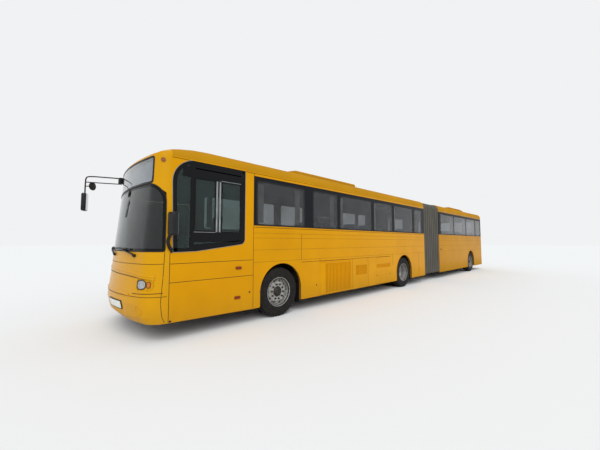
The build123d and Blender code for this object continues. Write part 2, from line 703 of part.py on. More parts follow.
LEFT_ARM_R = 28


def tube(points, radius):
    """Round bar through points, with a ball at each bend, for use inside a part block."""
    for start, end in zip(points, points[1:]):
        path = Vector(*end) - Vector(*start)
        with Locations(Plane(origin=start, z_dir=path).location):
            Cylinder(radius, path.length, align=(Align.CENTER, Align.CENTER, Align.MIN))
        with Locations(end):
            Sphere(radius)


def mirror_head(middle, yaw):
    """Rounded box of a mirror head, turned about the upright."""
    with BuildPart() as head:
        with Locations(Location(middle, (0, 0, yaw))):
            Box(*MIRROR_SIZE)
        fillet(head.edges(), MIRROR_R)
    return head.part


with BuildPart() as mirrors:
    with Locations(CLAMP):
        Box(*CLAMP_SIZE)
    for points in (TUBE_TOP, TUBE_LOW, TUBE_DROP, ROUND_ARM):
        tube(points, TUBE_R)
    add(mirror_head(RIGHT_HEAD, RIGHT_YAW))
    with BuildSketch(Plane(origin=ROUND_HEAD, z_dir=(cos(radians(ROUND_YAW)), sin(radians(ROUND_YAW)), 0))):
        Circle(ROUND_R)
    extrude(amount=ROUND_T / 2, both=True, taper=TUBE_R)
    clamp_rows = near_rows(NOSE_ROWS, CLAMP[2] - 2 * WALL, CLAMP[2] + 2 * WALL)
    add(end_loft(CORNER_X, 1, clamp_rows, HALF, 0, 0), mode=Mode.SUBTRACT)
    foot_along, foot_out, foot_high = LEFT_FOOT_SIZE
    with Locations((LEFT_FOOT[0], HALF + foot_out / 2, LEFT_FOOT[1])):
        Box(foot_along, foot_out, foot_high)
    tube(LEFT_ARM, LEFT_ARM_R)
    cut_box((LEFT_FOOT[0] - 2 * WALL, LEFT_FOOT[0] + 2 * WALL), (0, HALF), (LEFT_FOOT[1] - WALL, LEFT_FOOT[1] + WALL))
    add(mirror_head(LEFT_HEAD, LEFT_YAW))
write(mirrors.part, "mirrors")

# Tail shell with its window and lamps

tail_half, tail_low, tail_high = TAIL_WINDOW
TAIL_DEPTH = 500  # longer than the tail is deep
TAIL_START = TAIL_CORNER_X - TAIL_DEPTH
TAIL_SKIN = 40
TAIL_RIM = 2  # the tail's window and lamps end this far behind the side walls
tail_frame = [(0, (tail_low + tail_high) / 2, 2 * tail_half, tail_high - tail_low, PANE_R)]

with BuildPart() as tail_shell:
    add(hull(TAIL_CORNER_X, -1, TAIL_ROWS, 0, 0, (TAIL_START, TAIL_CORNER_X)))
    hollow_rows = opened(TAIL_ROWS, TAIL_SKIN)
    hollow_span = (TAIL_START, TAIL_CORNER_X + WALL)
    add(hull(TAIL_CORNER_X, -1, hollow_rows, TAIL_SKIN, WALL, hollow_span), mode=Mode.SUBTRACT)
    add(front_shapes(tail_frame, TAIL_START, TAIL_DEPTH - TAIL_RIM), mode=Mode.SUBTRACT)
write(tail_shell.part, "tail_shell")

tail_rows = near_rows(TAIL_ROWS, *spread(tail_frame))
tail_pane = both(layer(TAIL_CORNER_X, -1, tail_rows, FIT, 2 * GLASS_T),
                 front_shapes(less(tail_frame, FIT), TAIL_START, TAIL_DEPTH - TAIL_RIM))
with BuildPart() as rear_glass:
    add(side_glass([(1, LEFT_REAR_PANES), (-1, RIGHT_REAR_PANES)]))
    add(tail_pane)
write(rear_glass.part, "rear_glass")

with BuildPart() as rear_lamps:
    lamp_layer = layer(TAIL_CORNER_X, -1, near_rows(TAIL_ROWS, *spread(TAIL_LAMPS)), -MARKER_T, 0)
    add(both(lamp_layer, front_shapes(TAIL_LAMPS, TAIL_START, TAIL_DEPTH - TAIL_RIM)))
    for side in (1, -1):
        with Locations((REAR_MARKER[0], side * (HALF + MARKER_T / 2), REAR_MARKER[1])):
            Cylinder(MARKER_R, MARKER_T, rotation=(90, 0, 0))
write(rear_lamps.part, "rear_lamps")

# Wheels: tyre, rim, dished disc with hand holes, and hub, turned as one body

RIM_IN = 25  # rim's edge inside the tyre's side
HUB_R = 110
HUB_FLAT_R = 195  # flat middle of a wheel disc
HUB_BORE_R = 40
DISC_T = 14
DISC_FOOT = 10  # where a single wheel's disc meets its rim, outside the tyre's middle
TWIN_FOOT = 75  # where a twin's disc meets its rim, from the face the pair share
HAND_HOLES = 10
HAND_HOLE_R = 22
HAND_HOLE_PITCH_R = 228
HUB_IN = 10  # a single wheel's hub starts this far inside the tyre's middle
FACE_OUT = 75  # mounting face of a single wheel, outside the tyre's middle
FACE_TWIN = TWIN_SPACING / 2
BORE_OUT = 60  # the hub's bore ends here, outside the tyre's middle
CAP_OUT = 115
TWIN_BORE_OUT = 40
TWIN_HUB_IN = 120
SHOULDER = 14
MATING_Y = TWIN_OUTER_Y - FACE_TWIN


def wheel_plane(axle_x, y):
    """Section plane through an axle's line: first axis outboard, second axis up."""
    return Plane(origin=(axle_x, y, AXLE_Z), x_dir=(0, 1, 0), z_dir=(1, 0, 0))


def tyre_area(middle):
    """Half section of a tyre and the rim under it, about its middle."""
    edge = TYRE_W / 2
    rim = edge - RIM_IN
    with BuildSketch() as area:
        with BuildLine():
            Polyline((middle - rim, BEAD_R), (middle - rim, RIM_R), (middle + rim, RIM_R), (middle + rim, BEAD_R))
            for way in (1, -1):
                high = (middle + way * (edge - SHOULDER_IN), TYRE_R - TYRE_CORNER)
                bulge = (middle + way * edge, (BEAD_R + TYRE_R - TYRE_CORNER) / 2)
                ThreePointArc((middle + way * rim, BEAD_R), bulge, high)
                Polyline(high, (middle + way * (edge - SHOULDER_CUT), TYRE_R - SHOULDER_CUT),
                         (middle + way * (edge - TYRE_CORNER), TYRE_R))
            Line((middle - edge + TYRE_CORNER, TYRE_R), (middle + edge - TYRE_CORNER, TYRE_R))
        make_face()
    return area.sketch


def disc_area(face, foot, way):
    """Half section of a wheel disc, flat by the hub with its outer side at face, sloping to the rim at foot."""
    with BuildSketch() as area:
        with BuildLine():
            Polyline((way * face, HUB_R - SHOULDER), (way * face, HUB_FLAT_R), (way * (foot + DISC_T), RIM_R + SHOULDER),
                     (way * foot, RIM_R + SHOULDER), (way * (face - DISC_T), HUB_FLAT_R),
                     (way * (face - DISC_T), HUB_R - SHOULDER), (way * face, HUB_R - SHOULDER))
        make_face()
    return area.sketch


def hub_area(start, bore_end, face, end):
    """Half section of a hub with a blind bore and a domed cap."""
    bore_r = HUB_BORE_R + PIN_FIT
    with BuildSketch() as area:
        with BuildLine():
            Polyline((start, bore_r), (bore_end, bore_r), (bore_end, 0), (end, 0), (end, HUB_R - 3 * SHOULDER),
                     (face + 2 * SHOULDER, HUB_R - 2 * SHOULDER), (face, HUB_R), (start, HUB_R), (start, bore_r))
        make_face()
    return area.sketch


def turned_wheel(axle_x, y, areas):
    """A left-hand wheel swept by its half sections, with the hand holes cut."""
    with BuildPart() as wheel:
        with BuildSketch(wheel_plane(axle_x, y)):
            for area in areas:
                add(area)
        revolve(axis=Axis((axle_x, 0, AXLE_Z), (0, 1, 0)))
        with BuildSketch(Plane.XZ.offset(-y)):
            with Locations((axle_x, AXLE_Z)):
                with PolarLocations(HAND_HOLE_PITCH_R, HAND_HOLES):
                    Circle(HAND_HOLE_R)
        extrude(amount=TYRE_W / 2, both=True, mode=Mode.SUBTRACT)
    return wheel.part


def write_pair(piece, label):
    """Store a left-hand piece and its mirror image for the right."""
    write(piece, label.format("left"))
    write(mirror(piece, about=Plane.XZ), label.format("right"))


single_areas = [tyre_area(0), disc_area(FACE_OUT, DISC_FOOT, 1), hub_area(-HUB_IN, BORE_OUT, FACE_OUT, CAP_OUT)]
twin_areas = [tyre_area(FACE_TWIN), tyre_area(-FACE_TWIN), disc_area(DISC_T, TWIN_FOOT, 1),
              disc_area(DISC_T, TWIN_FOOT, -1), hub_area(-TWIN_HUB_IN, TWIN_BORE_OUT, 2 * DISC_T, TWIN_HUB_IN)]
write_pair(turned_wheel(AXLE_1_X, SINGLE_Y, single_areas), "front_{}_wheel")
write_pair(turned_wheel(AXLE_2_X, MATING_Y, twin_areas), "drive_{}_wheels")
write_pair(turned_wheel(AXLE_3_X, SINGLE_Y, single_areas), "trailing_{}_wheel")

# Axles, knuckles and springs

SPRING_R = 100
SPRING_ALONG = 330
CARRIER_H = 50
CARRIER_W = 80
CARRIER_LOW = AXLE_Z - 90
AXLE_TUBE_R = 75
AXLE_END_GAP = 15  # between an axle tube and the hub
DIFF_R = 170
SHAFT_R = 45
AXLE_BEAM_W = 90
AXLE_BEAM_TOP = AXLE_Z + 30
EYE_R = 50
EYE_H = 100
KINGPIN_R = 22
FORK_GAP = 6
LUG_T = 40
LUG_HALF = 42
WEB_T = 26
WEB_GAP = 8
ARM_REACH = 190
STEER_ARM_W = 40
STEER_ARM_T = 30
SPINDLE_GAP = 3  # between a spindle's end and the bottom of its bore
ENGINE_X = (3050, 4600)
ENGINE_Y = (-560, 260)
ENGINE_LOW = 330


def spring_carriers(axle_x):
    """Two fore-and-aft carriers under the axle with an air spring at each end, up to the frame."""
    for side in (1, -1):
        box((axle_x - SPRING_ALONG - SPRING_R, axle_x + SPRING_ALONG + SPRING_R),
            (side * BEAM_Y - CARRIER_W / 2, side * BEAM_Y + CARRIER_W / 2), (CARRIER_LOW, CARRIER_LOW + CARRIER_H))
        for along in (-SPRING_ALONG, SPRING_ALONG):
            height = BEAM_LOW - CARRIER_LOW - CARRIER_H
            with Locations((axle_x + along, side * BEAM_Y, CARRIER_LOW + CARRIER_H + height / 2)):
                Cylinder(SPRING_R, height)


def cross_bar(x, half, radius):
    """Round bar across the vehicle at axle height, for use inside a part block."""
    with Locations((x, 0, AXLE_Z)):
        Cylinder(radius, 2 * half, rotation=(90, 0, 0))


with BuildPart() as front_axle:
    box((AXLE_1_X - AXLE_BEAM_W / 2, AXLE_1_X + AXLE_BEAM_W / 2), (-KINGPIN_Y + SHEET, KINGPIN_Y - SHEET),
        (AXLE_Z - EYE_H / 2, AXLE_BEAM_TOP))
    with Locations((AXLE_1_X, KINGPIN_Y, AXLE_Z), (AXLE_1_X, -KINGPIN_Y, AXLE_Z)):
        Cylinder(EYE_R, EYE_H)
    spring_carriers(AXLE_1_X)
    with Locations((AXLE_1_X, KINGPIN_Y, AXLE_Z), (AXLE_1_X, -KINGPIN_Y, AXLE_Z)):
        Cylinder(KINGPIN_R + PIN_FIT, EYE_H + SHEET, mode=Mode.SUBTRACT)
write(front_axle.part, "front_axle")


def knuckle():
    """Left forked steering knuckle with its kingpin, wheel spindle and steering arm."""
    level = EYE_H / 2 + FORK_GAP + LUG_T / 2
    web = KINGPIN_Y + EYE_R + WEB_GAP
    spindle_end = SINGLE_Y + BORE_OUT - SPINDLE_GAP
    x_span = (AXLE_1_X - LUG_HALF, AXLE_1_X + LUG_HALF)
    with BuildPart() as piece:
        for z in (AXLE_Z + level, AXLE_Z - level):
            with Locations((AXLE_1_X, KINGPIN_Y, z)):
                Cylinder(LUG_HALF, LUG_T)
            box(x_span, (KINGPIN_Y, web + WEB_T), (z - LUG_T / 2, z + LUG_T / 2))
        box(x_span, (web, web + WEB_T), (AXLE_Z - level, AXLE_Z + level))
        with Locations((AXLE_1_X, KINGPIN_Y, AXLE_Z)):
            Cylinder(KINGPIN_R, 2 * level)
        with Locations((AXLE_1_X, (web + spindle_end) / 2, AXLE_Z)):
            Cylinder(HUB_BORE_R, spindle_end - web, rotation=(90, 0, 0))
        box((AXLE_1_X - ARM_REACH, AXLE_1_X), (KINGPIN_Y - STEER_ARM_W, KINGPIN_Y),
            (AXLE_Z - level - LUG_T / 2, AXLE_Z - level - LUG_T / 2 + STEER_ARM_T))
    return piece.part


write_pair(knuckle(), "{}_knuckle")

with BuildPart() as drive_axle:
    cross_bar(AXLE_2_X, MATING_Y - TWIN_HUB_IN - AXLE_END_GAP, AXLE_TUBE_R)
    cross_bar(AXLE_2_X, MATING_Y + TWIN_BORE_OUT - SPINDLE_GAP, HUB_BORE_R)
    with Locations((AXLE_2_X, 0, AXLE_Z)):
        Sphere(DIFF_R)
    with Locations(((AXLE_2_X + ENGINE_X[0]) / 2, 0, AXLE_Z)):
        Cylinder(SHAFT_R, ENGINE_X[0] - AXLE_2_X, rotation=(0, 90, 0))
    spring_carriers(AXLE_2_X)
write(drive_axle.part, "drive_axle")

with BuildPart() as trailing_axle:
    cross_bar(AXLE_3_X, SINGLE_Y - HUB_IN - AXLE_END_GAP, AXLE_TUBE_R)
    cross_bar(AXLE_3_X, SINGLE_Y + BORE_OUT - SPINDLE_GAP, HUB_BORE_R)
    spring_carriers(AXLE_3_X)
write(trailing_axle.part, "trailing_axle")

with BuildPart() as engine_block:
    box(ENGINE_X, ENGINE_Y, (ENGINE_LOW, BEAM_LOW))
write(engine_block.part, "engine_block")

# Mudflaps behind the wheels of the front section

FLAP_T = 8
FLAP_Y = (965, 1205)
FLAP_Z = (200, 700)

with BuildPart() as front_mudflaps:
    for axle_x in (AXLE_1_X, AXLE_2_X):
        for side in (1, -1):
            back = axle_x - WHEEL_BOX_HALF + SHEET
            box((back, back + FLAP_T), (side * FLAP_Y[0], side * FLAP_Y[1]), FLAP_Z)
write(front_mudflaps.part, "front_mudflaps")

# Frames: two long beams, and bearers from wall to wall under the floor

INNER = HALF - WALL
EDGE = INNER - FLOOR_GAP
FRONT_BEARERS = [8260, 7700, 6950, 5350, 4700, 3700, 2900, 2400, 1350, -250, FRONT_END_X + BEARER_W / 2]
REAR_BEARERS = [REAR_START_X - BEARER_W / 2, -3500, -4300, -5150, -6150, -7700, -8300, -8900]
CROSS_DROP = 120  # cross-members reach this far below the beams' tops
FRAME_FRONT_X = CORNER_X - 40
FRAME_REAR_X = TAIL_CORNER_X + 50
STEPS = 3
WELL_IN = -EDGE + STEPS * STEP_TREAD  # inner end of a step well


def frame(x_low, x_high, bearers, doors):
    """Chassis frame of one section, with its bearers cut short at the step wells."""
    with BuildPart() as chassis:
        for side in (1, -1):
            box((x_low, x_high), (side * BEAM_Y - BEAM_W / 2, side * BEAM_Y + BEAM_W / 2), (BEAM_LOW, BEAM_TOP))
        with Locations(*((x, 0, (BEAM_TOP + FLOOR_UNDER) / 2) for x in bearers)):
            Box(BEARER_W, 2 * INNER, FLOOR_UNDER - BEAM_TOP)
        with Locations(*((x, 0, BEAM_TOP - CROSS_DROP / 2) for x in bearers)):
            Box(BEARER_W, 2 * BEAM_Y, CROSS_DROP)
        for label, low, high, leaves in doors:
            cut_box((low - SHEET, high + SHEET), (-INNER, -BEAM_Y - BEAM_W / 2), (BEAM_LOW, FLOOR_UNDER))
    return chassis.part


write(frame(FRONT_END_X, FRAME_FRONT_X, FRONT_BEARERS, [FRONT_DOOR, MIDDLE_DOOR]), "front_chassis")
write(frame(FRAME_REAR_X, REAR_START_X, REAR_BEARERS, [REAR_DOOR]), "rear_chassis")

# Floors with step wells and wheel housings

BOX_END_LOW = SKIRT_Z + 30  # lower edges of the wheel housings' end plates
BOX_INNER_LOW = BEAM_LOW + 20
PLATFORM_HALF = 600  # half width of the floor's tongues to the turntable
PLATFORM_GAP = 5
RING_FLOOR_R = GANGWAY_R + PLATFORM_GAP


def floor(x_low, x_high, axles, doors):
    """Floor plate, cut out at the wheel housings and the step wells."""
    with BuildPart() as deck:
        box((x_low, x_high), (-EDGE, EDGE), (FLOOR_UNDER, FLOOR_Z))
        for axle_x in axles:
            for side in (1, -1):
                cut_box((axle_x - WHEEL_BOX_HALF, axle_x + WHEEL_BOX_HALF), (side * WHEEL_BOX_IN, side * INNER),
                        (FLOOR_UNDER, FLOOR_Z))
        for label, low, high, leaves in doors:
            cut_box((low - SHEET, high + SHEET), (-INNER, WELL_IN + STEP_T), (FLOOR_UNDER, FLOOR_Z))
    return deck.part


def wheel_boxes(axles):
    """Open boxes of sheet over the wheels."""
    with BuildPart() as boxes:
        for axle_x in axles:
            low, high = axle_x - WHEEL_BOX_HALF, axle_x + WHEEL_BOX_HALF
            for side in (1, -1):
                across = (side * WHEEL_BOX_IN, side * EDGE)
                box((low, high), across, (WHEEL_BOX_TOP - SHEET, WHEEL_BOX_TOP))
                box((low, high), (across[0], across[0] + side * SHEET), (BOX_INNER_LOW, WHEEL_BOX_TOP))
                for end in (low, high - SHEET):
                    box((end, end + SHEET), across, (BOX_END_LOW, WHEEL_BOX_TOP))
    return boxes.part


def step_wells(doors):
    """Steps down to each doorway between two side plates, bored for the lower pins of the door posts."""
    rise = (FLOOR_Z - STEP_LOW_Z) / STEPS
    with BuildPart() as wells:
        for label, low, high, leaves in doors:
            for number in range(STEPS):
                z = STEP_LOW_Z + number * rise
                y = -EDGE + number * STEP_TREAD
                box((low, high), (y, y + STEP_TREAD + STEP_T), (z - STEP_T, z))
                box((low, high), (y + STEP_TREAD, y + STEP_TREAD + STEP_T), (z - STEP_T, z + rise))
            for x in (low - SHEET, high):
                box((x, x + SHEET), (-EDGE, WELL_IN + STEP_T), (STEP_LOW_Z - STEP_T, FLOOR_Z))
        for door in doors:
            for x, way in posts(door):
                with Locations((x, POST_Y, STEP_LOW_Z)):
                    Cylinder(POST_PIN_R + PIN_FIT, 3 * STEP_T, mode=Mode.SUBTRACT)
    return wells.part


with BuildPart() as front_floor:
    add(floor(FRONT_END_X, CORNER_X - FLOOR_GAP, [AXLE_1_X, AXLE_2_X], front_doors))
    box((PIVOT_X, FRONT_END_X), (-PLATFORM_HALF, PLATFORM_HALF), (FLOOR_UNDER, FLOOR_Z))
    with Locations((PIVOT_X, 0, FLOOR_Z - FLOOR_T / 2)):
        Cylinder(RING_FLOOR_R, FLOOR_T, mode=Mode.SUBTRACT)
write(front_floor.part, "front_floor")
write(wheel_boxes([AXLE_1_X, AXLE_2_X]), "front_wheel_boxes")
write(step_wells(front_doors), "front_step_wells")

with BuildPart() as rear_floor:
    add(floor(TAIL_CORNER_X, REAR_START_X, [AXLE_3_X], [REAR_DOOR]))
    add(wheel_boxes([AXLE_3_X]))
    add(step_wells([REAR_DOOR]))
write(rear_floor.part, "rear_floor")

# Turntable: the base ring under the front section's tail carries the rear section's ring and gangway floor

RING_ARM_OUT = 480  # the rings' arms start this far from the pivot
DRUM_R = 500
RING_HIGH_Z = RING_SPLIT_Z + RING_T


with BuildPart() as turntable_base:
    with BuildSketch(Plane.XY.offset(RING_SPLIT_Z - RING_T)):
        with Locations((PIVOT_X, 0)):
            Circle(RING_R)
            Circle(RING_R - RING_WALL, mode=Mode.SUBTRACT)
        for side in (1, -1):
            with Locations(((PIVOT_X + RING_ARM_OUT + FRONT_END_X) / 2, side * BEAM_Y)):
                Rectangle(FRONT_END_X - PIVOT_X - RING_ARM_OUT, BEAM_W)
    extrude(amount=RING_T)
write(turntable_base.part, "turntable_base")

with BuildPart() as turntable_ring:
    with BuildSketch(Plane.XY.offset(RING_SPLIT_Z + FIT)):
        with Locations((PIVOT_X, 0)):
            Circle(RING_R)
            Circle(RING_R - RING_WALL, mode=Mode.SUBTRACT)
        for side in (1, -1):
            with Locations(((PIVOT_X - RING_ARM_OUT + REAR_START_X) / 2, side * BEAM_Y)):
                Rectangle(PIVOT_X - RING_ARM_OUT - REAR_START_X, BEAM_W)
    extrude(amount=RING_T - FIT)
    with BuildSketch(Plane.XY.offset(RING_HIGH_Z)):
        with Locations((PIVOT_X, 0)):
            Circle(DRUM_R)
            Circle(RING_R - RING_WALL, mode=Mode.SUBTRACT)
    extrude(amount=FLOOR_UNDER - RING_HIGH_Z)
    with Locations((PIVOT_X, 0, FLOOR_Z - FLOOR_T / 2)):
        Cylinder(GANGWAY_R, FLOOR_T)
    box((REAR_START_X, PIVOT_X), (-PLATFORM_HALF, PLATFORM_HALF), (FLOOR_UNDER, FLOOR_Z))
write(turntable_ring.part, "turntable_ring")

# Bellows: one pleated sleeve round the gangway, between the two sections


def sleeve(skin):
    """Solid pleated prism, made smaller by skin all round."""
    length = FRONT_END_X - REAR_START_X - FIT
    with BuildPart() as prism:
        for number in range(2 * BELLOWS_FOLDS + 1):
            inset = BELLOWS_INSET + FOLD_DEPTH * (number % 2) + skin
            with BuildSketch(Plane.YZ.offset(REAR_START_X + FIT + length * number / (2 * BELLOWS_FOLDS))):
                with Locations((0, EAVE_Z)):
                    add(bow_sketch(HALF - inset, ROOF_RISE - inset, COVE_R - inset, EAVE_Z - BELLOWS_LOW_Z - inset))
        loft(ruled=True)
    return prism.part


with BuildPart() as bellows:
    add(sleeve(0))
    add(sleeve(BELLOWS_SKIN), mode=Mode.SUBTRACT)
write(bellows.part, "bellows")

# Doors: leaves with two lights, posts with two cranked arms each

RAIL = 70  # width of a leaf's frame
LIGHTS = ((600, 1200), (1300, 2400))
LEAF_LUG_T = 16
LUG_GAP = 1
ARM_EYE_R = 18
ARM_HUB_R = 32


def door_point(edge, way, along, inward):
    """A point seen from above, measured along the doorway from the post's edge and inward from the skin."""
    return edge + way * along, -HALF + inward


def arm_line(edge, way, reach):
    """Post axis, knee and far pivot of an arm in the closed position."""
    turn = radians(DOOR_OPEN)
    out_u, out_v = KNEE_OUT
    knee = (out_u * cos(turn) - out_v * sin(turn), out_u * sin(turn) + out_v * cos(turn))
    return (door_point(edge, way, POST_ALONG, POST_IN),
            door_point(edge, way, POST_ALONG + knee[0], POST_IN + knee[1]),
            door_point(edge, way, POST_ALONG + reach, POST_IN + ARM_RISE))


def leaf_size(door):
    """Width of one leaf of a doorway and the reach of its arms."""
    label, low, high, leaves = door
    width = (high - low - (len(leaves) + 1) * DOOR_SEAM) / len(leaves)
    return width, width / 2 + DOOR_SEAM / 2


def post(door, at_high):
    """Upright post with its arms, its lower pin in the step and its upper pin in the header."""
    label, low, high, leaves = door
    edge, way = (high, -1) if at_high else (low, 1)
    width, reach = leaf_size(door)
    axis, knee, far = arm_line(edge, way, reach)
    with BuildPart() as piece:
        with BuildSketch(Plane.XY.offset(STEP_LOW_Z + FIT)):
            with Locations(axis):
                Circle(POST_R)
        extrude(amount=DOOR_HIGH_Z + HEADER_GAP - STEP_LOW_Z - 2 * FIT)
        with BuildSketch(Plane.XY.offset(STEP_LOW_Z - STEP_T)):
            with Locations(axis):
                Circle(POST_PIN_R)
        extrude(amount=DOOR_HIGH_Z + HEADER_GAP + HEADER_T - STEP_LOW_Z + STEP_T)
        for level in ARM_LEVELS:
            with BuildSketch(Plane.XY.offset(level - ARM_T / 2)):
                with BuildLine():
                    Polyline(axis, knee, far)
                trace(line_width=ARM_W)
                with Locations(axis):
                    Circle(ARM_HUB_R)
                with Locations(far):
                    Circle(ARM_EYE_R)
                    Circle(ARM_PIN_R + PIN_FIT, mode=Mode.SUBTRACT)
            extrude(amount=ARM_T)
    return piece.part


def leaf(door, at_high):
    """Door leaf with two glazed lights and a pinned lug under each arm."""
    label, low, high, leaves = door
    edge, way = (high, -1) if at_high else (low, 1)
    width, reach = leaf_size(door)
    axis, knee, far = arm_line(edge, way, reach)
    near_x, far_x = (edge + way * DOOR_SEAM, edge + way * (DOOR_SEAM + width))
    middle_x = (near_x + far_x) / 2
    with BuildPart() as piece:
        box((near_x, far_x), (-HALF, -HALF + LEAF_T), (DOOR_LOW_Z, DOOR_HIGH_Z))
        for low_z, high_z in LIGHTS:
            for start in (0, (LEAF_T + PANE_T) / 2):
                with BuildSketch(side_plane(-1, start)):
                    with Locations((middle_x, (low_z + high_z) / 2)):
                        RectangleRounded(width - 2 * RAIL, high_z - low_z, RAIL / 2)
                extrude(amount=-(LEAF_T - PANE_T) / 2, mode=Mode.SUBTRACT)
        lug_tops = [level - ARM_T / 2 - LUG_GAP for level in ARM_LEVELS]
        lug_y = (far[1] - HALF + LEAF_T) / 2
        with Locations(*((far[0], lug_y, top - LEAF_LUG_T / 2) for top in lug_tops)):
            Box(2 * ARM_EYE_R, far[1] + HALF - LEAF_T, LEAF_LUG_T)
        with Locations(*((far[0], far[1], top - LEAF_LUG_T / 2) for top in lug_tops)):
            Cylinder(ARM_EYE_R, LEAF_LUG_T)
        with Locations(*((far[0], far[1], top) for top in lug_tops)):
            Cylinder(ARM_PIN_R, 2 * (ARM_T + LUG_GAP))
    return piece.part


for door in (FRONT_DOOR, MIDDLE_DOOR, REAR_DOOR):
    for leaf_label, at_high in door[3]:
        name = door[0] if leaf_label == "leaf" else f"{door[0]}_{leaf_label}"
        write(post(door, at_high), f"{name}_post")
        write(leaf(door, at_high), f"{name}_leaf")

# Lids low in the side walls, hung on end pins along their top edges

def lid(side, span, slots, proud):
    """A lid with its end pins and rows of upright slots. A proud lid stands out, sloping at its front end."""
    low, high, bottom, top = span
    x_low, x_high, z_low, z_high = low + SEAM, high - SEAM, bottom + SEAM, top - LID_TOP_SEAM
    with BuildPart() as piece:
        box((x_low, x_high), (side * (HALF - LID_T), side * HALF), (z_low, z_high))
        with Locations(((low + high) / 2, side * (HALF - LID_PIN_IN), z_high - LID_PIN_IN)):
            Cylinder(LID_PIN_R, x_high - x_low + 2 * LID_PIN_L, rotation=(0, 90, 0))
        if proud:
            out = side * (HALF + proud)
            with BuildSketch(Plane.XY.offset(z_low)):
                with BuildLine():
                    Polyline((x_low, side * HALF), (x_low + proud, out), (x_high - FLAP_BEVEL, out),
                             (x_high, side * HALF), (x_low, side * HALF))
                make_face()
            extrude(amount=z_high - LID_PIN_IN - FLAP_DROP - z_low)
        for row in slots:
            add(slot_bars(side, row, proud), mode=Mode.SUBTRACT)
    return piece.part


write(lid(1, GRILLE_FLAP, [FLAP_SLOTS], FLAP_PROUD), "grille_flap")
write(lid(1, LEFT_LID, [LEFT_SLOTS], 0), "left_lid")
write(lid(-1, RIGHT_LID, [], 0), "right_lid")

# Seats

SEAT_W = 430
SEAT_GAP = 20
SEAT_Y = 760  # middle of a pair
CUSHION_LOW = 350  # heights above the floor
CUSHION_H = 95
CUSHION_L = 440
BACK_H = 640
BACK_T = 75
BACK_LEAN = 110
LEG_T = 30
LEG_L = 300
LEFT_ROWS = [4900, 4140, 3380, 2620, 1860, -450]
RIGHT_ROWS = [4900, 4140, 3380, -450]
REAR_LEFT_ROWS = [-3300, -4060, -4820, -5580, -8300]
REAR_RIGHT_ROWS = [-3300, -4060, -8300]


def seats(left_rows, right_rows):
    """All seat pairs of one section: shells side by side on legs, joined by a bar. A row's X is the foot
    of its backs."""
    base = FLOOR_Z + CUSHION_LOW
    top = base + CUSHION_H
    with BuildPart() as group:
        for side, rows in ((1, left_rows), (-1, right_rows)):
            for middle in (side * SEAT_Y - (SEAT_W + SEAT_GAP) / 2, side * SEAT_Y + (SEAT_W + SEAT_GAP) / 2):
                with BuildSketch(Plane.XZ.offset(-middle - SEAT_W / 2)):
                    for x in rows:
                        with BuildLine():
                            Polyline((x, base), (x + CUSHION_L, base), (x + CUSHION_L, top), (x + BACK_T, top),
                                     (x + BACK_T - BACK_LEAN, top + BACK_H), (x - BACK_LEAN, top + BACK_H), (x, base))
                        make_face()
                extrude(amount=SEAT_W)
                with BuildSketch(Plane.XZ.offset(-middle - LEG_T / 2)):
                    with Locations(*((x + LEG_T + LEG_L / 2, (FLOOR_Z + base) / 2) for x in rows)):
                        Rectangle(LEG_L, base - FLOOR_Z)
                extrude(amount=LEG_T)
            with Locations(*((x + LEG_T + LEG_L / 2, side * SEAT_Y, base - LEG_T / 2) for x in rows)):
                Box(LEG_L, SEAT_W, LEG_T)
    return group.part


write(seats(LEFT_ROWS, RIGHT_ROWS), "front_seats")
write(seats(REAR_LEFT_ROWS, REAR_RIGHT_ROWS), "rear_seats")

# Driver's place: seat, dashboard with the steering column, steering wheel

DRIVER_X = 7250  # foot of the seat's back
DRIVER_Y = 580
DRIVER_SEAT_W = 480
DRIVER_BASE = 1310
DRIVER_CUSHION = 120
PEDESTAL_R = 110
DASH_PROFILE = [(8060, 1120), (8060, 1320), (8130, 1400), (8400, 1440), (8440, 1400), (8440, FLOOR_Z), (8180, FLOOR_Z)]
DASH_Y = (-150, 1150)
WHEEL_HUB = (7900, 580, 1640)
COLUMN_LEAN = 25  # degrees from upright
COLUMN_R = 35
COLUMN_GAP = 6
STEER_RIM_R = 225
STEER_GRIP_R = 16
STEER_HUB_R = 45
STEER_HUB_T = 30
STEER_PIN_R = 12
STEER_PIN_L = 60
SPOKE_W = 26
SPOKE_T = 12

with BuildPart() as driver_seat:
    with BuildSketch(Plane.XZ.offset(-(DRIVER_Y - DRIVER_SEAT_W / 2))):
        with BuildLine():
            top = DRIVER_BASE + DRIVER_CUSHION
            Polyline((DRIVER_X, DRIVER_BASE), (DRIVER_X + CUSHION_L, DRIVER_BASE), (DRIVER_X + CUSHION_L, top),
                     (DRIVER_X + DRIVER_CUSHION, top), (DRIVER_X, top + BACK_H),
                     (DRIVER_X - BACK_LEAN, top + BACK_H), (DRIVER_X, DRIVER_BASE))
        make_face()
    extrude(amount=-DRIVER_SEAT_W)
    fillet(driver_seat.edges().filter_by(Axis.Y), LEG_T)
    with Locations((DRIVER_X + CUSHION_L / 2, DRIVER_Y, (FLOOR_Z + DRIVER_BASE) / 2)):
        Cylinder(PEDESTAL_R, DRIVER_BASE - FLOOR_Z)
write(driver_seat.part, "driver_seat")

column_way = (-sin(radians(COLUMN_LEAN)), 0, cos(radians(COLUMN_LEAN)))
column_plane = Plane(origin=WHEEL_HUB, x_dir=(0, 1, 0), z_dir=column_way)

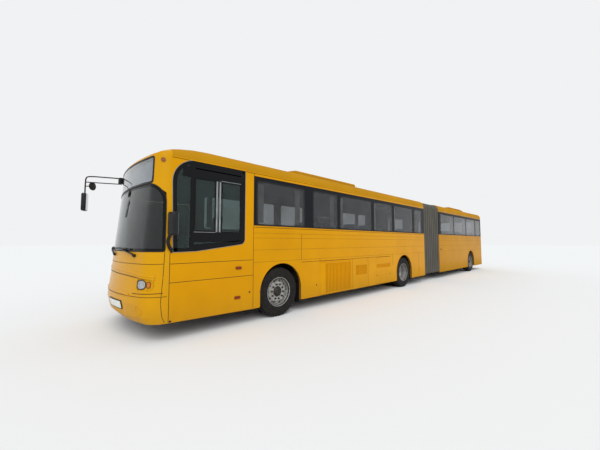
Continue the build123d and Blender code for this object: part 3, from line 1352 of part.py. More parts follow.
with BuildPart() as dashboard:
    with BuildSketch(Plane.XZ.offset(-DASH_Y[0])):
        with BuildLine():
            Polyline(*DASH_PROFILE, DASH_PROFILE[0])
        make_face()
    extrude(amount=DASH_Y[0] - DASH_Y[1])
    with BuildSketch(column_plane.offset(-STEER_HUB_T / 2 - COLUMN_GAP)):
        Circle(COLUMN_R)
    extrude(amount=-(WHEEL_HUB[2] - FLOOR_Z) / cos(radians(COLUMN_LEAN)))
    split(bisect_by=Plane.XY.offset(FLOOR_Z), keep=Keep.TOP)
    with BuildSketch(column_plane.offset(-STEER_HUB_T / 2)):
        Circle(STEER_PIN_R + PIN_FIT)
    extrude(amount=-STEER_PIN_L - COLUMN_GAP, mode=Mode.SUBTRACT)
write(dashboard.part, "dashboard")

with BuildPart() as steering_wheel:
    with Locations(column_plane.location):
        Torus(STEER_RIM_R, STEER_GRIP_R)
        Cylinder(STEER_HUB_R, STEER_HUB_T)
        with PolarLocations(STEER_RIM_R / 2, 3):
            Box(STEER_RIM_R, SPOKE_W, SPOKE_T)
    with BuildSketch(column_plane):
        Circle(STEER_PIN_R)
    extrude(amount=-STEER_HUB_T / 2 - STEER_PIN_L)
write(steering_wheel.part, "steering_wheel")
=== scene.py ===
# %% [markdown]
# An articulated bus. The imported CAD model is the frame: it gives every piece its place and says what moves
# with what. This script loads it, gives each surface its finish, and lays finer surfaces over the forms that
# the eye follows: the nose, the roof, the bellows, the wheels, the glass and the lamps.
# %% Load the frame
import math
import bmesh
import bpy
import numpy as np
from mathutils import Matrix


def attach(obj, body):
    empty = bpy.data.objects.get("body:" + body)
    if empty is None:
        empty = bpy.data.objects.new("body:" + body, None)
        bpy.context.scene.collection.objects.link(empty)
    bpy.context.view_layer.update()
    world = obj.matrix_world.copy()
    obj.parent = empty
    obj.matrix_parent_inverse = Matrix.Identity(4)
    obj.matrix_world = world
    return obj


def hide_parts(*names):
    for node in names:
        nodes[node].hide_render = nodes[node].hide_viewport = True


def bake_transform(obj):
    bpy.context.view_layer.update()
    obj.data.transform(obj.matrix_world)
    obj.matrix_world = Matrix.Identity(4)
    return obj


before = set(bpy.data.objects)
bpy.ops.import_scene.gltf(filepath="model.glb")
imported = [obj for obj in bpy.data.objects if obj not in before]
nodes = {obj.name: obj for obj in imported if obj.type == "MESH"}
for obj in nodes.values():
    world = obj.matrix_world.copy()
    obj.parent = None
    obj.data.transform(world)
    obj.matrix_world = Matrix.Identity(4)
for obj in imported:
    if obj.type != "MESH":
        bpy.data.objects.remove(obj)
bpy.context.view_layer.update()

# %% [markdown]
# The camera stands low at the left front corner, close to the bus, with a wide lens. Its place was worked
# out from the photograph by matching the corners of the body, the wheels and the window line: yaw and pitch
# are in degrees.
# %% Camera
CAMERA_YAW, CAMERA_PITCH = 226.91, 3.54
camera_data = bpy.data.cameras.new("camera")
camera_data.lens = 16.5
camera_data.sensor_width = 36
camera_data.clip_end = 500
camera = bpy.data.objects.new("camera", camera_data)
camera.location = (9.798, 5.832, 1.555)
camera.rotation_euler = (math.radians(90 + CAMERA_PITCH), 0, math.radians(CAMERA_YAW - 90))
bpy.context.scene.collection.objects.link(camera)
bpy.context.scene.camera = camera
yaw = math.radians(CAMERA_YAW)
print("camera looks along", round(math.cos(yaw), 3), round(math.sin(yaw), 3))

# %% [markdown]
# Colours are written as they look on a screen. Blender's shaders want linear light, so one function turns
# them. A second small function adds a shader node, sets its values and links its inputs.
# %% Colour and node helpers
SOCKETS = {"metallic": "Metallic", "roughness": "Roughness", "specular": "Specular IOR Level", "ior": "IOR",
           "transmission": "Transmission Weight", "sheen": "Sheen Weight"}


def linear(hex_colour):
    """sRGB hex to linear: below 0.04045 divide by 12.92, above it ((c + 0.055) / 1.055) to the power 2.4."""
    values = [int(hex_colour[i:i + 2], 16) / 255 for i in (1, 3, 5)]
    return tuple(c / 12.92 if c <= 0.04045 else ((c + 0.055) / 1.055) ** 2.4 for c in values) + (1.0,)


def add(tree, kind, values=None, links=None, **settings):
    """Add one node: settings are its properties, values its sockets, links its inputs from other sockets."""
    node = tree.nodes.new(kind)
    for name, value in settings.items():
        setattr(node, name, value)
    for name, value in (values or {}).items():
        node.inputs[name].default_value = value
    for name, socket in (links or {}).items():
        tree.links.new(socket, node.inputs[name])
    return node


def new_material(name):
    """An empty material with its output, its Principled shader and the Object coordinates."""
    material = bpy.data.materials.new(name)
    material.use_nodes = True
    tree = material.node_tree
    tree.nodes.clear()
    output = add(tree, "ShaderNodeOutputMaterial")
    shader = add(tree, "ShaderNodeBsdfPrincipled")
    tree.links.new(shader.outputs["BSDF"], output.inputs["Surface"])
    place = add(tree, "ShaderNodeTexCoord").outputs["Object"]
    return material, tree, shader, place


def surface(tree, shader, colour, **values):
    """Link the base colour and set plain values on the shader's own sockets."""
    tree.links.new(colour, shader.inputs["Base Color"])
    for name, value in values.items():
        shader.inputs[SOCKETS[name]].default_value = value


def noise(tree, place, size_mm, detail=4.0, stretch=(1, 1, 1)):
    """Noise whose blobs are about size_mm across: the scale is one over that size in metres."""
    mapping = add(tree, "ShaderNodeMapping", {"Scale": stretch}, {"Vector": place})
    return add(tree, "ShaderNodeTexNoise", {"Scale": 1000.0 / size_mm, "Detail": detail},
               {"Vector": mapping.outputs["Vector"]}).outputs["Fac"]


def ramp(tree, value, low, high):
    """0 below low, 1 above high, straight between."""
    node = add(tree, "ShaderNodeMapRange", {"From Min": low, "From Max": high}, {"Value": value}, clamp=True)
    return node.outputs["Result"]


def mix(tree, fac, first, second):
    """Mix two colours, each a hex value or a socket, by a factor socket."""
    node = add(tree, "ShaderNodeMix", data_type="RGBA")
    tree.links.new(fac, node.inputs["Factor"])
    for socket, colour in ((node.inputs["A"], first), (node.inputs["B"], second)):
        if isinstance(colour, str):
            socket.default_value = linear(colour)
        else:
            tree.links.new(colour, socket)
    return node.outputs["Result"]


def calc(tree, operation, *values):
    """One arithmetic node on sockets or numbers."""
    node = add(tree, "ShaderNodeMath", operation=operation)
    for socket, value in zip(node.inputs, values):
        if isinstance(value, (int, float)):
            socket.default_value = value
        else:
            tree.links.new(value, socket)
    return node.outputs["Value"]


def bump(tree, shader, height, strength, distance_mm):
    """Bump from a height socket, with the real height in millimetres."""
    values = {"Strength": strength, "Distance": distance_mm / 1000}
    node = add(tree, "ShaderNodeBump", values, {"Height": height})
    tree.links.new(node.outputs["Normal"], shader.inputs["Normal"])


def finish(name, dark, light, size_mm, roughness, metallic=0.0, bump_mm=0.0, bump_size_mm=2.0):
    """A finish of two near colours in soft patches, with a fine bumpy grain."""
    material, tree, shader, place = new_material(name)
    patches = ramp(tree, noise(tree, place, size_mm), 0.35, 0.65)
    specular = 0.5 if metallic else 0.28
    surface(tree, shader, mix(tree, patches, dark, light), metallic=metallic, specular=specular)
    spread = ramp(tree, noise(tree, place, size_mm / 3), 0.0, 1.0)
    tree.links.new(calc(tree, "MULTIPLY_ADD", spread, 0.12, roughness - 0.06), shader.inputs["Roughness"])
    if bump_mm:
        bump(tree, shader, noise(tree, place, bump_size_mm), 0.5, bump_mm)
    return material


def shown(name, data):
    """A new object in the scene."""
    made = bpy.data.objects.new(name, data)
    bpy.context.scene.collection.objects.link(made)
    return made


def dress(material, *names):
    """Give CAD nodes a finish. Their meshes stay as they are."""
    for name in names:
        slots = nodes[name].data.materials
        slots.clear()
        slots.append(material)


print("helpers ready")

# %% [markdown]
# The floor and backdrop are one pale sheet. Camera rays that reach the sky see white, while the lamps light
# the object at a plain level, as an overcast sky does.
# %% Stage and light
floor_mesh = bpy.data.meshes.new("stage_floor")
floor_mesh.from_pydata([(-150, -150, 0), (150, -150, 0), (150, 150, 0), (-150, 150, 0)], [], [(0, 1, 2, 3)])
floor = shown("stage_floor", floor_mesh)
floor_material, tree, shader, place = new_material("pale_studio_floor")
shader.inputs["Base Color"].default_value = linear("#EEEEEC")
shader.inputs["Roughness"].default_value = 1.0
shader.inputs["Specular IOR Level"].default_value = 0.0
floor.data.materials.append(floor_material)

world = bpy.data.worlds.new("studio")
world.use_nodes = True
bpy.context.scene.world = world
tree = world.node_tree
tree.nodes.clear()
rays = add(tree, "ShaderNodeLightPath")
lit = add(tree, "ShaderNodeBackground", {"Color": linear("#EDF1F6"), "Strength": 0.80})
seen = add(tree, "ShaderNodeBackground", {"Color": linear("#F1F2F3"), "Strength": 1.0})
direct = calc(tree, "MAXIMUM", rays.outputs["Is Camera Ray"], rays.outputs["Is Transmission Ray"])
direct = calc(tree, "MAXIMUM", direct, rays.outputs["Is Glossy Ray"])
blend_sky = add(tree, "ShaderNodeMixShader")
tree.links.new(direct, blend_sky.inputs["Fac"])
tree.links.new(lit.outputs["Background"], blend_sky.inputs[1])
tree.links.new(seen.outputs["Background"], blend_sky.inputs[2])
output = add(tree, "ShaderNodeOutputWorld")
tree.links.new(blend_sky.outputs["Shader"], output.inputs["Surface"])

sun_data = bpy.data.lights.new("soft_sky_lamp", "SUN")
sun_data.energy = 1.7
sun_data.angle = math.radians(50)
shown("soft_sky_lamp", sun_data).rotation_euler = (math.radians(-38), math.radians(30), 0)
bpy.context.scene.view_settings.view_transform = "Standard"
print("stage ready")

# %% [markdown]
# Every new surface is a grid of points worked out with whole numpy arrays. Four small shapes cover the bus: a
# sheet with two faces, a section turned about an axle, a bar carried along a path, and a box with rounded
# edges. Blender could also cut and bevel boxes by hand, but then no size would be written down.
# %% Grids to meshes
def rows_of_faces(rows, columns, wrap=False):
    """Four corners of each cell of a grid, numbered row by row. A wrapped grid closes on its first column."""
    index = np.arange(rows * columns).reshape(rows, columns)
    if wrap:
        index = np.hstack([index, index[:, :1]])
    return np.stack([index[:-1, :-1], index[:-1, 1:], index[1:, 1:], index[1:, :-1]], -1).reshape(-1, 4), index


def sheet(outer, inner, wrap=False):
    """Closed sheet between two grids of the same size: both faces, and the strip that joins their edges."""
    rows, columns = outer.shape[:2]
    faces, index = rows_of_faces(rows, columns, wrap)
    total = rows * columns
    if wrap:
        rims = [index[0], index[-1][::-1]]
        sides = [np.stack([rim[:-1], rim[1:], rim[1:] + total, rim[:-1] + total], -1) for rim in rims]
    else:
        rim = np.concatenate([index[0], index[1:, -1], index[-1, -2::-1], index[-2:0:-1, 0]])
        after = np.roll(rim, -1)
        sides = [np.stack([rim, after, after + total, rim + total], -1)]
    points = np.concatenate([outer.reshape(-1, 3), inner.reshape(-1, 3)])
    return points, np.concatenate([faces, faces[:, ::-1] + total, *sides])


def around(centre, out, radius, angle):
    """Points at a distance out along the Y direction from a centre, at a radius and an angle round it."""
    return np.stack([centre[0] + radius * np.cos(angle), centre[1] + out + 0 * angle,
                     centre[2] + radius * np.sin(angle)], -1)


def turned(profile, centre, count=96):
    """A closed section of (out, radius) pairs swept round the Y direction through centre."""
    out, radius = np.asarray(profile, float).T
    angle = np.linspace(0, 2 * np.pi, count, endpoint=False)[:, None]
    faces = rows_of_faces(count + 1, len(out), True)[0]
    return around(centre, out, radius, angle).reshape(-1, 3), faces % (count * len(out))


def bar(path, radius, sides=12, flat=1.0):
    """A rod along a path of points: rings square to the path, with flat squeezing them, and closed ends."""
    path = np.asarray(path, float)
    way = np.gradient(path, axis=0)
    way /= np.linalg.norm(way, axis=1, keepdims=True)
    side = np.cross(way, (0.0, 0.0, 1.0))
    weak = np.linalg.norm(side, axis=1) < 0.05
    side[weak] = np.cross(way[weak], (0.0, 1.0, 0.0))
    side /= np.linalg.norm(side, axis=1, keepdims=True)
    lift = np.cross(side, way)
    angle = np.linspace(0, 2 * np.pi, sides, endpoint=False)[None, :, None]
    rings = path[:, None] + radius * (side[:, None] * np.cos(angle) + flat * lift[:, None] * np.sin(angle))
    rings = np.concatenate([path[:1, None] + 0 * rings[:1], rings, path[-1:, None] + 0 * rings[-1:]])
    faces = rows_of_faces(len(rings), sides, True)[0]
    return rings.reshape(-1, 3), faces


def soft_box(centre, size, radius, yaw=0.0, count=10):
    """A box with rounded edges: each point of a ball of that radius moves out to its own corner of the box."""
    across = np.concatenate([np.linspace(0, np.pi / 2, count // 2 + 1) + quarter for quarter in
                             (0, np.pi / 2, np.pi, 3 * np.pi / 2)])
    up = np.concatenate([np.linspace(-np.pi / 2, 0, count // 2 + 1), np.linspace(0, np.pi / 2, count // 2 + 1)])
    signs_x = np.repeat([1, -1, -1, 1], count // 2 + 1)
    signs_y = np.repeat([1, 1, -1, -1], count // 2 + 1)
    signs_z = np.repeat([-1, 1], count // 2 + 1)
    core = np.maximum(np.asarray(size) / 2 - radius, 0)
    x = radius * np.cos(up)[:, None] * np.cos(across) + signs_x * core[0]
    y = radius * np.cos(up)[:, None] * np.sin(across) + signs_y * core[1]
    z = radius * np.sin(up)[:, None] + (signs_z * core[2])[:, None] + 0 * across
    turn = math.radians(yaw)
    points = np.stack([centre[0] + x * math.cos(turn) - y * math.sin(turn),
                       centre[1] + x * math.sin(turn) + y * math.cos(turn), centre[2] + z], -1)
    low, high = points[:1].mean(1, keepdims=True), points[-1:].mean(1, keepdims=True)
    points = np.concatenate([low + 0 * points[:1], points, high + 0 * points[-1:]])
    faces = rows_of_faces(len(points), len(across), True)[0]
    return points.reshape(-1, 3), faces


def piece(name, parts, materials, body, replaces=(), angle=35):
    """One object from parts of (points, faces), with the place of another material than the first as a third
    value. Doubles are merged and normals turned outwards."""
    start, points, faces, places = 0, [], [], []
    for part_points, part_faces, *place in parts:
        points.append(part_points)
        faces.extend((part_faces + start).tolist())
        places.append(np.full(len(part_faces), place[0] if place else 0))
        start += len(part_points)
    mesh = bpy.data.meshes.new(name)
    mesh.from_pydata(np.concatenate(points).tolist(), [], faces)
    for material in materials:
        mesh.materials.append(material)
    mesh.polygons.foreach_set("material_index", np.concatenate(places).astype(np.int32))
    shape = bmesh.new()
    shape.from_mesh(mesh)
    bmesh.ops.remove_doubles(shape, verts=shape.verts, dist=0.00002)
    bmesh.ops.dissolve_degenerate(shape, edges=shape.edges, dist=0.00001)
    bmesh.ops.recalc_face_normals(shape, faces=shape.faces)
    shape.to_mesh(mesh)
    shape.free()
    mesh.polygons.foreach_set("use_smooth", np.ones(len(mesh.polygons), bool))
    mesh.set_sharp_from_angle(angle=math.radians(angle))
    made = shown(name, mesh)
    if body:
        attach(made, body)
    if replaces:
        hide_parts(*replaces)
    print(name, "triangles", sum(len(polygon.vertices) - 2 for polygon in mesh.polygons))
    return made


# %% [markdown]
# The nose is the same curve in the CAD model and here: seen from above, a wide arc between two tangent
# roundings, whose depth changes with the height. With its formula, glass, wipers, seams and plates lie on
# the skin exactly, at any height and any distance from the middle line.
# %% The nose's curve
HALF, CORNER_X, EAVE_Z, ROOF_RISE, COVE_R = 1.275, 8.330, 2.935, 0.315, 0.240
FRONT_END_X, REAR_START_X, TAIL_X, SKIRT_Z = -1.130, -2.640, -9.000, 0.270
# Height, and how far the nose's middle stands before its corners
NOSE_ROWS = np.array([(0.300, 0.420), (0.400, 0.520), (0.600, 0.570), (0.700, 0.562), (1.000, 0.522),
                      (1.200, 0.505), (1.400, 0.490), (2.550, 0.365), (2.930, 0.345), (2.970, 0.330),
                      (3.250, 0.250)])


def nose_point(along, height, out=0.0):
    """Point on the nose: along is the distance over the skin from the middle line, left positive.
    Within the wide arc the point turns about the arc's centre, beyond it about the rounding's centre."""
    along, height = np.broadcast_arrays(np.asarray(along, float), np.asarray(height, float))
    depth = np.interp(height, NOSE_ROWS[:, 0], NOSE_ROWS[:, 1])
    corner = 0.7 * depth
    across = HALF - corner
    big = (across**2 + depth**2 - corner**2) / (2 * (depth - corner))
    lean = np.arctan2(big - depth, across)
    limit = big * (np.pi / 2 - lean)
    side = np.abs(along)
    turn_big = np.minimum(side, limit) / big
    turn_small = lean - np.clip((side - limit) / corner, 0, lean)
    past = side > limit
    lateral = np.where(past, across + (corner + out) * np.cos(turn_small), (big + out) * np.sin(turn_big))
    forward = np.where(past, (corner + out) * np.sin(turn_small), depth - big + (big + out) * np.cos(turn_big))
    back = np.maximum(side - limit - corner * lean, 0)
    return np.stack([CORNER_X + forward - back, np.sign(along) * lateral, height], -1)


def nose_along(lateral, height):
    """Distance over the skin for a given distance from the middle plane."""
    steps = np.linspace(0, 1.6, 400)
    return np.sign(lateral) * np.interp(abs(lateral), nose_point(steps, height)[:, 1], steps)


steps = np.linspace(1.6, 0, 400)
to_corner = float(np.interp(CORNER_X, nose_point(steps, 1.4)[:, 0], steps))
print("nose from the middle to the corner", round(to_corner, 3))

# %% [markdown]
# Body paint is a two-layer enamel sprayed over steel panels: even in colour, glossy where it is washed,
# duller and browner near the road. Each section has its own yellow, as the light falls on it. The window band
# is black glass and black paint at one height, so the wall material itself turns black between two heights. A
# picture of the stripe would need a texture file.
# %% Body paint
def axis_of(tree, place):
    """The three coordinates of a place."""
    return add(tree, "ShaderNodeSeparateXYZ", links={"Vector": place}).outputs


def between(tree, value, low, high, soft=0.002):
    """1 between two values and 0 outside them."""
    rise = ramp(tree, value, low - soft, low + soft)
    return calc(tree, "MULTIPLY", rise, ramp(tree, value, high + soft, high - soft))


def cabin_side(tree, place, lining):
    """1 where a face looks towards the middle of the cabin, where the panels are lined and not painted.
    The lining gives that middle, the weight of each axis in the test, and the height where it starts."""
    middle, weights, low = lining
    away = add(tree, "ShaderNodeVectorMath", {1: middle}, {0: place}, operation="SUBTRACT").outputs["Vector"]
    away = add(tree, "ShaderNodeVectorMath", {1: weights}, {0: away}, operation="MULTIPLY").outputs["Vector"]
    normal = add(tree, "ShaderNodeNewGeometry").outputs["True Normal"]
    facing = add(tree, "ShaderNodeVectorMath", links={0: away, 1: normal}, operation="DOT_PRODUCT")
    above = ramp(tree, axis_of(tree, place)[2], low - 0.01, low + 0.01)
    return calc(tree, "MULTIPLY", above, ramp(tree, facing.outputs["Value"], -0.05, -0.10))


def body_paint(name, clean, shade, dust, band=None, dust_high=0.75, roughness=0.30, gloss=0.16, lining=None,
               panes=()):
    """Enamel with slow patches of shade, road dust that thins out upwards, and an optional black band.
    A door leaf also gets dark glass where its sunk panes lie, between the given pairs of X."""
    material, tree, shader, place = new_material(name)
    x, y, z = axis_of(tree, place)
    shader.inputs["Specular IOR Level"].default_value = gloss
    patches = ramp(tree, noise(tree, place, 900, 3.0), 0.35, 0.70)
    colour = mix(tree, patches, clean, shade)
    streaks = noise(tree, place, 120, 5.0, (1, 1, 0.18))
    low = ramp(tree, calc(tree, "ADD", z, calc(tree, "MULTIPLY", streaks, 0.35)), dust_high + 0.15, 0.42)
    colour = mix(tree, calc(tree, "MULTIPLY", low, 0.35), colour, dust)
    dull = calc(tree, "MULTIPLY", low, 0.30)
    if band:
        mask = between(tree, z, band[0], band[1])
        if band[2] is not None:
            mask = calc(tree, "MULTIPLY", mask, ramp(tree, x, band[2] + 0.002, band[2] - 0.002))
        colour = mix(tree, mask, colour, "#17191E")
        dull = calc(tree, "MULTIPLY", dull, calc(tree, "SUBTRACT", 1.0, mask))
    if panes:
        mask = between(tree, y, *DOOR_PANE_Y, 0.0005)
        for value, spans in ((x, panes), (z, DOOR_LIGHTS)):
            within = 0.0
            for low_edge, high_edge in spans:
                within = calc(tree, "MAXIMUM", within, between(tree, value, low_edge, high_edge, 0.0005))
            mask = calc(tree, "MULTIPLY", mask, within)
        colour = mix(tree, mask, colour, "#16191C")
        dull = calc(tree, "MULTIPLY", dull, calc(tree, "SUBTRACT", 1.0, mask))
        dull = calc(tree, "MULTIPLY_ADD", mask, -0.24, dull)
        tree.links.new(calc(tree, "MULTIPLY_ADD", mask, 0.34, gloss), shader.inputs["Specular IOR Level"])
    if lining:
        colour = mix(tree, cabin_side(tree, place, lining), colour, "#6B6D6E")
    tree.links.new(colour, shader.inputs["Base Color"])
    tree.links.new(calc(tree, "ADD", dull, roughness), shader.inputs["Roughness"])
    bump(tree, shader, noise(tree, place, 450, 2.0), 0.25, 1.5)
    return material


YELLOW, YELLOW_SHADE, ROAD_DUST = "#D29300", "#C98B00", "#94701E"
# The black band's low and high edge, and the X where it ends in front
FRONT_BAND, REAR_BAND = (1.880, 2.868, 6.780), (1.880, 2.868, None)
DOOR_LIGHTS, DOOR_PANE_Y = ((0.600, 1.200), (1.300, 2.400)), (-1.264, -1.246)
DOOR_PANES = ((7.128, 7.551), (7.699, 8.122), (1.578, 2.242), (-6.022, -5.358))
WALL_LINING, ROOF_LINING = ((0, 0, 0), (0, 1, 0), 0.0), ((0, 0, 2.6), (0, 1, 1), 2.0)
NOSE_LINING, TAIL_LINING = ((6.5, 0, 0), (1, 1, 0), 1.35), ((-7.5, 0, 0), (1, 1, 0), 1.35)
side_paint = body_paint("yellow_enamel_side", YELLOW, YELLOW_SHADE, ROAD_DUST, FRONT_BAND, gloss=0.09,
                        lining=WALL_LINING)
rear_paint = body_paint("yellow_enamel_rear", "#BE8500", "#B47C00", "#8A681C", REAR_BAND, gloss=0.04,
                        lining=WALL_LINING)
nose_paint = body_paint("yellow_enamel_nose", "#CF9502", "#C68C00", ROAD_DUST, None, 0.62, 0.26, 0.14,
                        NOSE_LINING)
tail_paint = body_paint("yellow_enamel_tail", "#C98E00", "#BF8500", ROAD_DUST, REAR_BAND, gloss=0.09,
                        lining=TAIL_LINING)
plain_paint = body_paint("yellow_enamel_panels", YELLOW, YELLOW_SHADE, ROAD_DUST, gloss=0.09)
door_paint = body_paint("yellow_enamel_doors_with_panes", YELLOW, YELLOW_SHADE, ROAD_DUST, gloss=0.09,
                        panes=DOOR_PANES)
roof_paint = body_paint("yellow_enamel_roof", "#C88C06", "#B97F05", ROAD_DUST, None, 0.2, 0.46, 0.06,
                        ROOF_LINING)
# Unpainted black parts: moulded plastic, sprung rubber and sprayed steel, each with its own gloss
black_plastic = finish("black_moulded_plastic", "#0F1011", "#1B1C1E", 60, 0.42, bump_mm=0.3, bump_size_mm=2.5)
rubber_trim = finish("black_rubber_profile", "#121212", "#1D1D1C", 90, 0.62, bump_mm=0.2, bump_size_mm=3)
mirror_shell = finish("black_mirror_housing", "#0C0D0E", "#17181A", 80, 0.30, bump_mm=0.15, bump_size_mm=2)
seam_shadow = finish("panel_joint_shadow", "#1F1705", "#2B2107", 150, 0.75)
sheet_edge = finish("bare_aluminium_strip", "#7E8180", "#989A98", 120, 0.50, metallic=0.30)
chassis_paint = finish("black_chassis_paint", "#141312", "#27241F", 300, 0.68, bump_mm=0.8, bump_size_mm=12)
underseal = finish("dusty_underseal", "#1D1B18", "#39342B", 220, 0.85, bump_mm=1.2, bump_size_mm=9)
floor_vinyl = finish("grey_floor_covering", "#33363A", "#43464A", 25, 0.55, bump_mm=0.4, bump_size_mm=4)
cast_metal = finish("cast_iron_with_rust", "#231B15", "#3A2E24", 90, 0.72, 0.45, 1.0, 5)
engine_metal = finish("oiled_grey_casting", "#26282A", "#3B3C3C", 150, 0.58, 0.35, 1.0, 8)
post_steel = finish("brushed_stainless_tube", "#8E9193", "#B3B5B6", 40, 0.30, metallic=0.95)
print("body finishes ready")

# %% [markdown]
# Window glass is a flat float glass: clear with a grey-green tint, very smooth. The side panes are dark
# tinted, so the coach behind them reads as grey. Transmission keeps the sky's reflection on the outside.
# %% Glass, lenses and cloth
def tinted_glass(name, tint, dusty, transmission, roughness=0.02, ior=1.52):
    """Float glass with a grey tint. A share of the light passes, the rest meets the dark tint."""
    material, tree, shader, place = new_material(name)
    smear = ramp(tree, noise(tree, place, 350, 5.0), 0.40, 0.75)
    tree.links.new(calc(tree, "MULTIPLY_ADD", smear, 0.05, roughness), shader.inputs["Roughness"])
    surface(tree, shader, mix(tree, smear, tint, dusty), transmission=transmission, ior=ior)
    return material


side_glass = tinted_glass("grey_tinted_side_glass", "#AEB1B4", "#A0A2A0", 0.94, 0.01, 1.28)
cab_glass = tinted_glass("green_tinted_cab_glass", "#7D9490", "#75857F", 0.93, 0.01, 1.28)
screen_glass = tinted_glass("clear_windscreen_glass", "#747F7C", "#6C7571", 0.94, 0.02, 1.40)
sign_pane_glass = tinted_glass("clear_sign_window_glass", "#D9DEE2", "#CBD0D4", 0.90)
mirror_glass, tree, shader, place = new_material("silvered_mirror_glass")
haze = ramp(tree, noise(tree, place, 60), 0.3, 0.8)
surface(tree, shader, mix(tree, haze, "#C9CDD0", "#B9BEC2"), metallic=1.0, roughness=0.06)


LENS_RIB_MM = 9.0


def lens_material(name, choices, base, worn):
    """Moulded lens: a base colour with patches of a second colour, other colours where a coordinate lies in a
    range, and upright ribs. On the white headlamp lens the dark patches are painted reflection of a faceted
    reflector;
    on the red lens they are a slight random tone.
    """
    material, tree, shader, place = new_material(name)
    axes = dict(zip("xyz", axis_of(tree, place)))
    # Painted reflection on the headlamp: the dark patches stand for its faceted reflector. On the red lens they
    # are random tone.
    grain = ramp(tree, noise(tree, place, 14), 0.3, 0.7)
    colour = mix(tree, grain, base, worn)
    for axis, low, high, tone in choices:
        value = calc(tree, "ABSOLUTE", axes[axis]) if axis == "y" else axes[axis]
        colour = mix(tree, between(tree, value, low, high), colour, tone)
    surface(tree, shader, colour, roughness=0.18, specular=0.25)
    wave = calc(tree, "SINE", calc(tree, "MULTIPLY", axes["y"], 2000 * math.pi / LENS_RIB_MM))
    bump(tree, shader, wave, 0.6, 1.2)
    return material


# The headlamp's dark second colour is painted reflection of its faceted reflector.
front_lens = lens_material("clear_and_amber_lens", [("y", 1.140, 1.190, "#C4700F"), ("x", 6.5, 7.6, "#7C2A0C"),
                                                    ("z", 2.7, 3.0, "#8A5230")], "#C9CCCB", "#5E6263")
rear_lens = lens_material("red_and_amber_lens", [("z", 0.86, 1.0, "#C4700F"), ("x", -3.5, -2.5, "#7C2A0C"),
                                                 ("z", 2.7, 2.9, "#B3261B")], "#A81F17", "#921A14")


def woven(name, dark, light, thread_mm, roughness=0.85, sheen=0.25):
    """Cloth: two crossed rows of threads, drawn coarser than life so that they show, with soft wear."""
    material, tree, shader, place = new_material(name)
    x, y, z = axis_of(tree, place)
    turns = 2000 * math.pi / thread_mm
    first = calc(tree, "SINE", calc(tree, "MULTIPLY", calc(tree, "ADD", x, z), turns))
    second = calc(tree, "SINE", calc(tree, "MULTIPLY", calc(tree, "SUBTRACT", y, z), turns))
    weave = ramp(tree, calc(tree, "MULTIPLY", first, second), -1, 1)
    wear = noise(tree, place, 160, 5.0)
    shade = calc(tree, "MULTIPLY_ADD", weave, 0.5, wear)
    surface(tree, shader, mix(tree, ramp(tree, shade, 0.3, 1.0), dark, light), roughness=roughness, sheen=sheen)
    bump(tree, shader, weave, 0.5, 0.5)
    return material


seat_cloth = woven("blue_seat_moquette", "#25324F", "#3E5078", 8)
curtain_cloth = woven("pale_grey_curtain", "#8E8F8C", "#B4B5B1", 6, 0.9, 0.3)
print("glass and cloth ready")

# %% [markdown]
# The CAD pieces whose shape is already right keep their meshes and only get their finish. The real ones are
# pressed, cast or rolled parts without fine relief, so a second mesh over them would add nothing.
# %% Dress the CAD pieces
dress(side_paint, "front_left_wall", "front_right_wall")
dress(rear_paint, "rear_left_wall", "rear_right_wall")
dress(plain_paint, "left_lid", "right_lid", "grille_flap")
dress(door_paint, *[name for name in nodes if name.endswith("_leaf")])
dress(nose_paint, "nose_shell", "front_bumper")
dress(tail_paint, "tail_shell")
dress(roof_paint, "front_roof", "rear_roof", "front_roof_pod", "rear_roof_pod", "front_hatch")
dress(side_glass, "front_side_glass", "rear_glass")
dress(cab_glass, "driver_window")
dress(chassis_paint, "front_chassis", "rear_chassis", "turntable_base", "turntable_ring")
dress(underseal, "front_wheel_boxes")
dress(floor_vinyl, "front_floor", "rear_floor", "front_step_wells")
dress(rubber_trim, "front_mudflaps")
dress(cast_metal, "front_axle", "drive_axle", "trailing_axle", "left_knuckle", "right_knuckle")
dress(engine_metal, "engine_block")
dress(black_plastic, "dashboard", "steering_wheel")
dress(post_steel, *[name for name in nodes if name.endswith("_post")])
dress(front_lens, "front_lamps")
dress(rear_lens, "rear_lamps")
print("CAD pieces dressed")

# %% [markdown]
# The bellows of the gangway are coated fabric sewn to hoops, so that the sleeve folds like an accordion. The
# section follows the body's outline, smaller in the valleys than on the ridges. The mesh crosses the hinge
# and is attached to neither section.
# %% Bellows
def body_section(inset, count):
    """Outline of the body seen from the back, moved in by inset: floor, side, rounding, crown and down again.
    The crown is a wide arc that touches the roundings, as in the CAD model."""
    inset = np.asarray(inset, float)[:, None]
    half, rise, corner = HALF - inset, ROOF_RISE - inset, COVE_R - inset
    across = half - corner
    big = (across**2 + rise**2 - corner**2) / (2 * (rise - corner))
    lean = np.arctan2(big - rise, across)
    share = np.linspace(0, 1, count)[None]
    side_z = SKIRT_Z + 0.005 + inset + (EAVE_Z - SKIRT_Z - 0.005 - inset) * share
    side = [half + 0 * side_z, side_z]
    turn = lean * share
    rounding = [across + corner * np.cos(turn), EAVE_Z + corner * np.sin(turn)]
    spread = lean + (np.pi / 2 - lean) * share
    crown = [big * np.cos(spread), EAVE_Z + rise - big + big * np.sin(spread)]
    y = np.hstack([side[0], rounding[0][:, 1:], crown[0][:, 1:]])
    z = np.hstack([side[1], rounding[1][:, 1:], crown[1][:, 1:]])
    floor_y = half * np.linspace(0, 1, count)[None, :-1]
    floor_z = SKIRT_Z + 0.005 + inset + 0 * floor_y
    y, z = np.hstack([floor_y, y]), np.hstack([floor_z, z])
    return np.hstack([y, -y[:, -2:0:-1]]), np.hstack([z, z[:, -2:0:-1]])


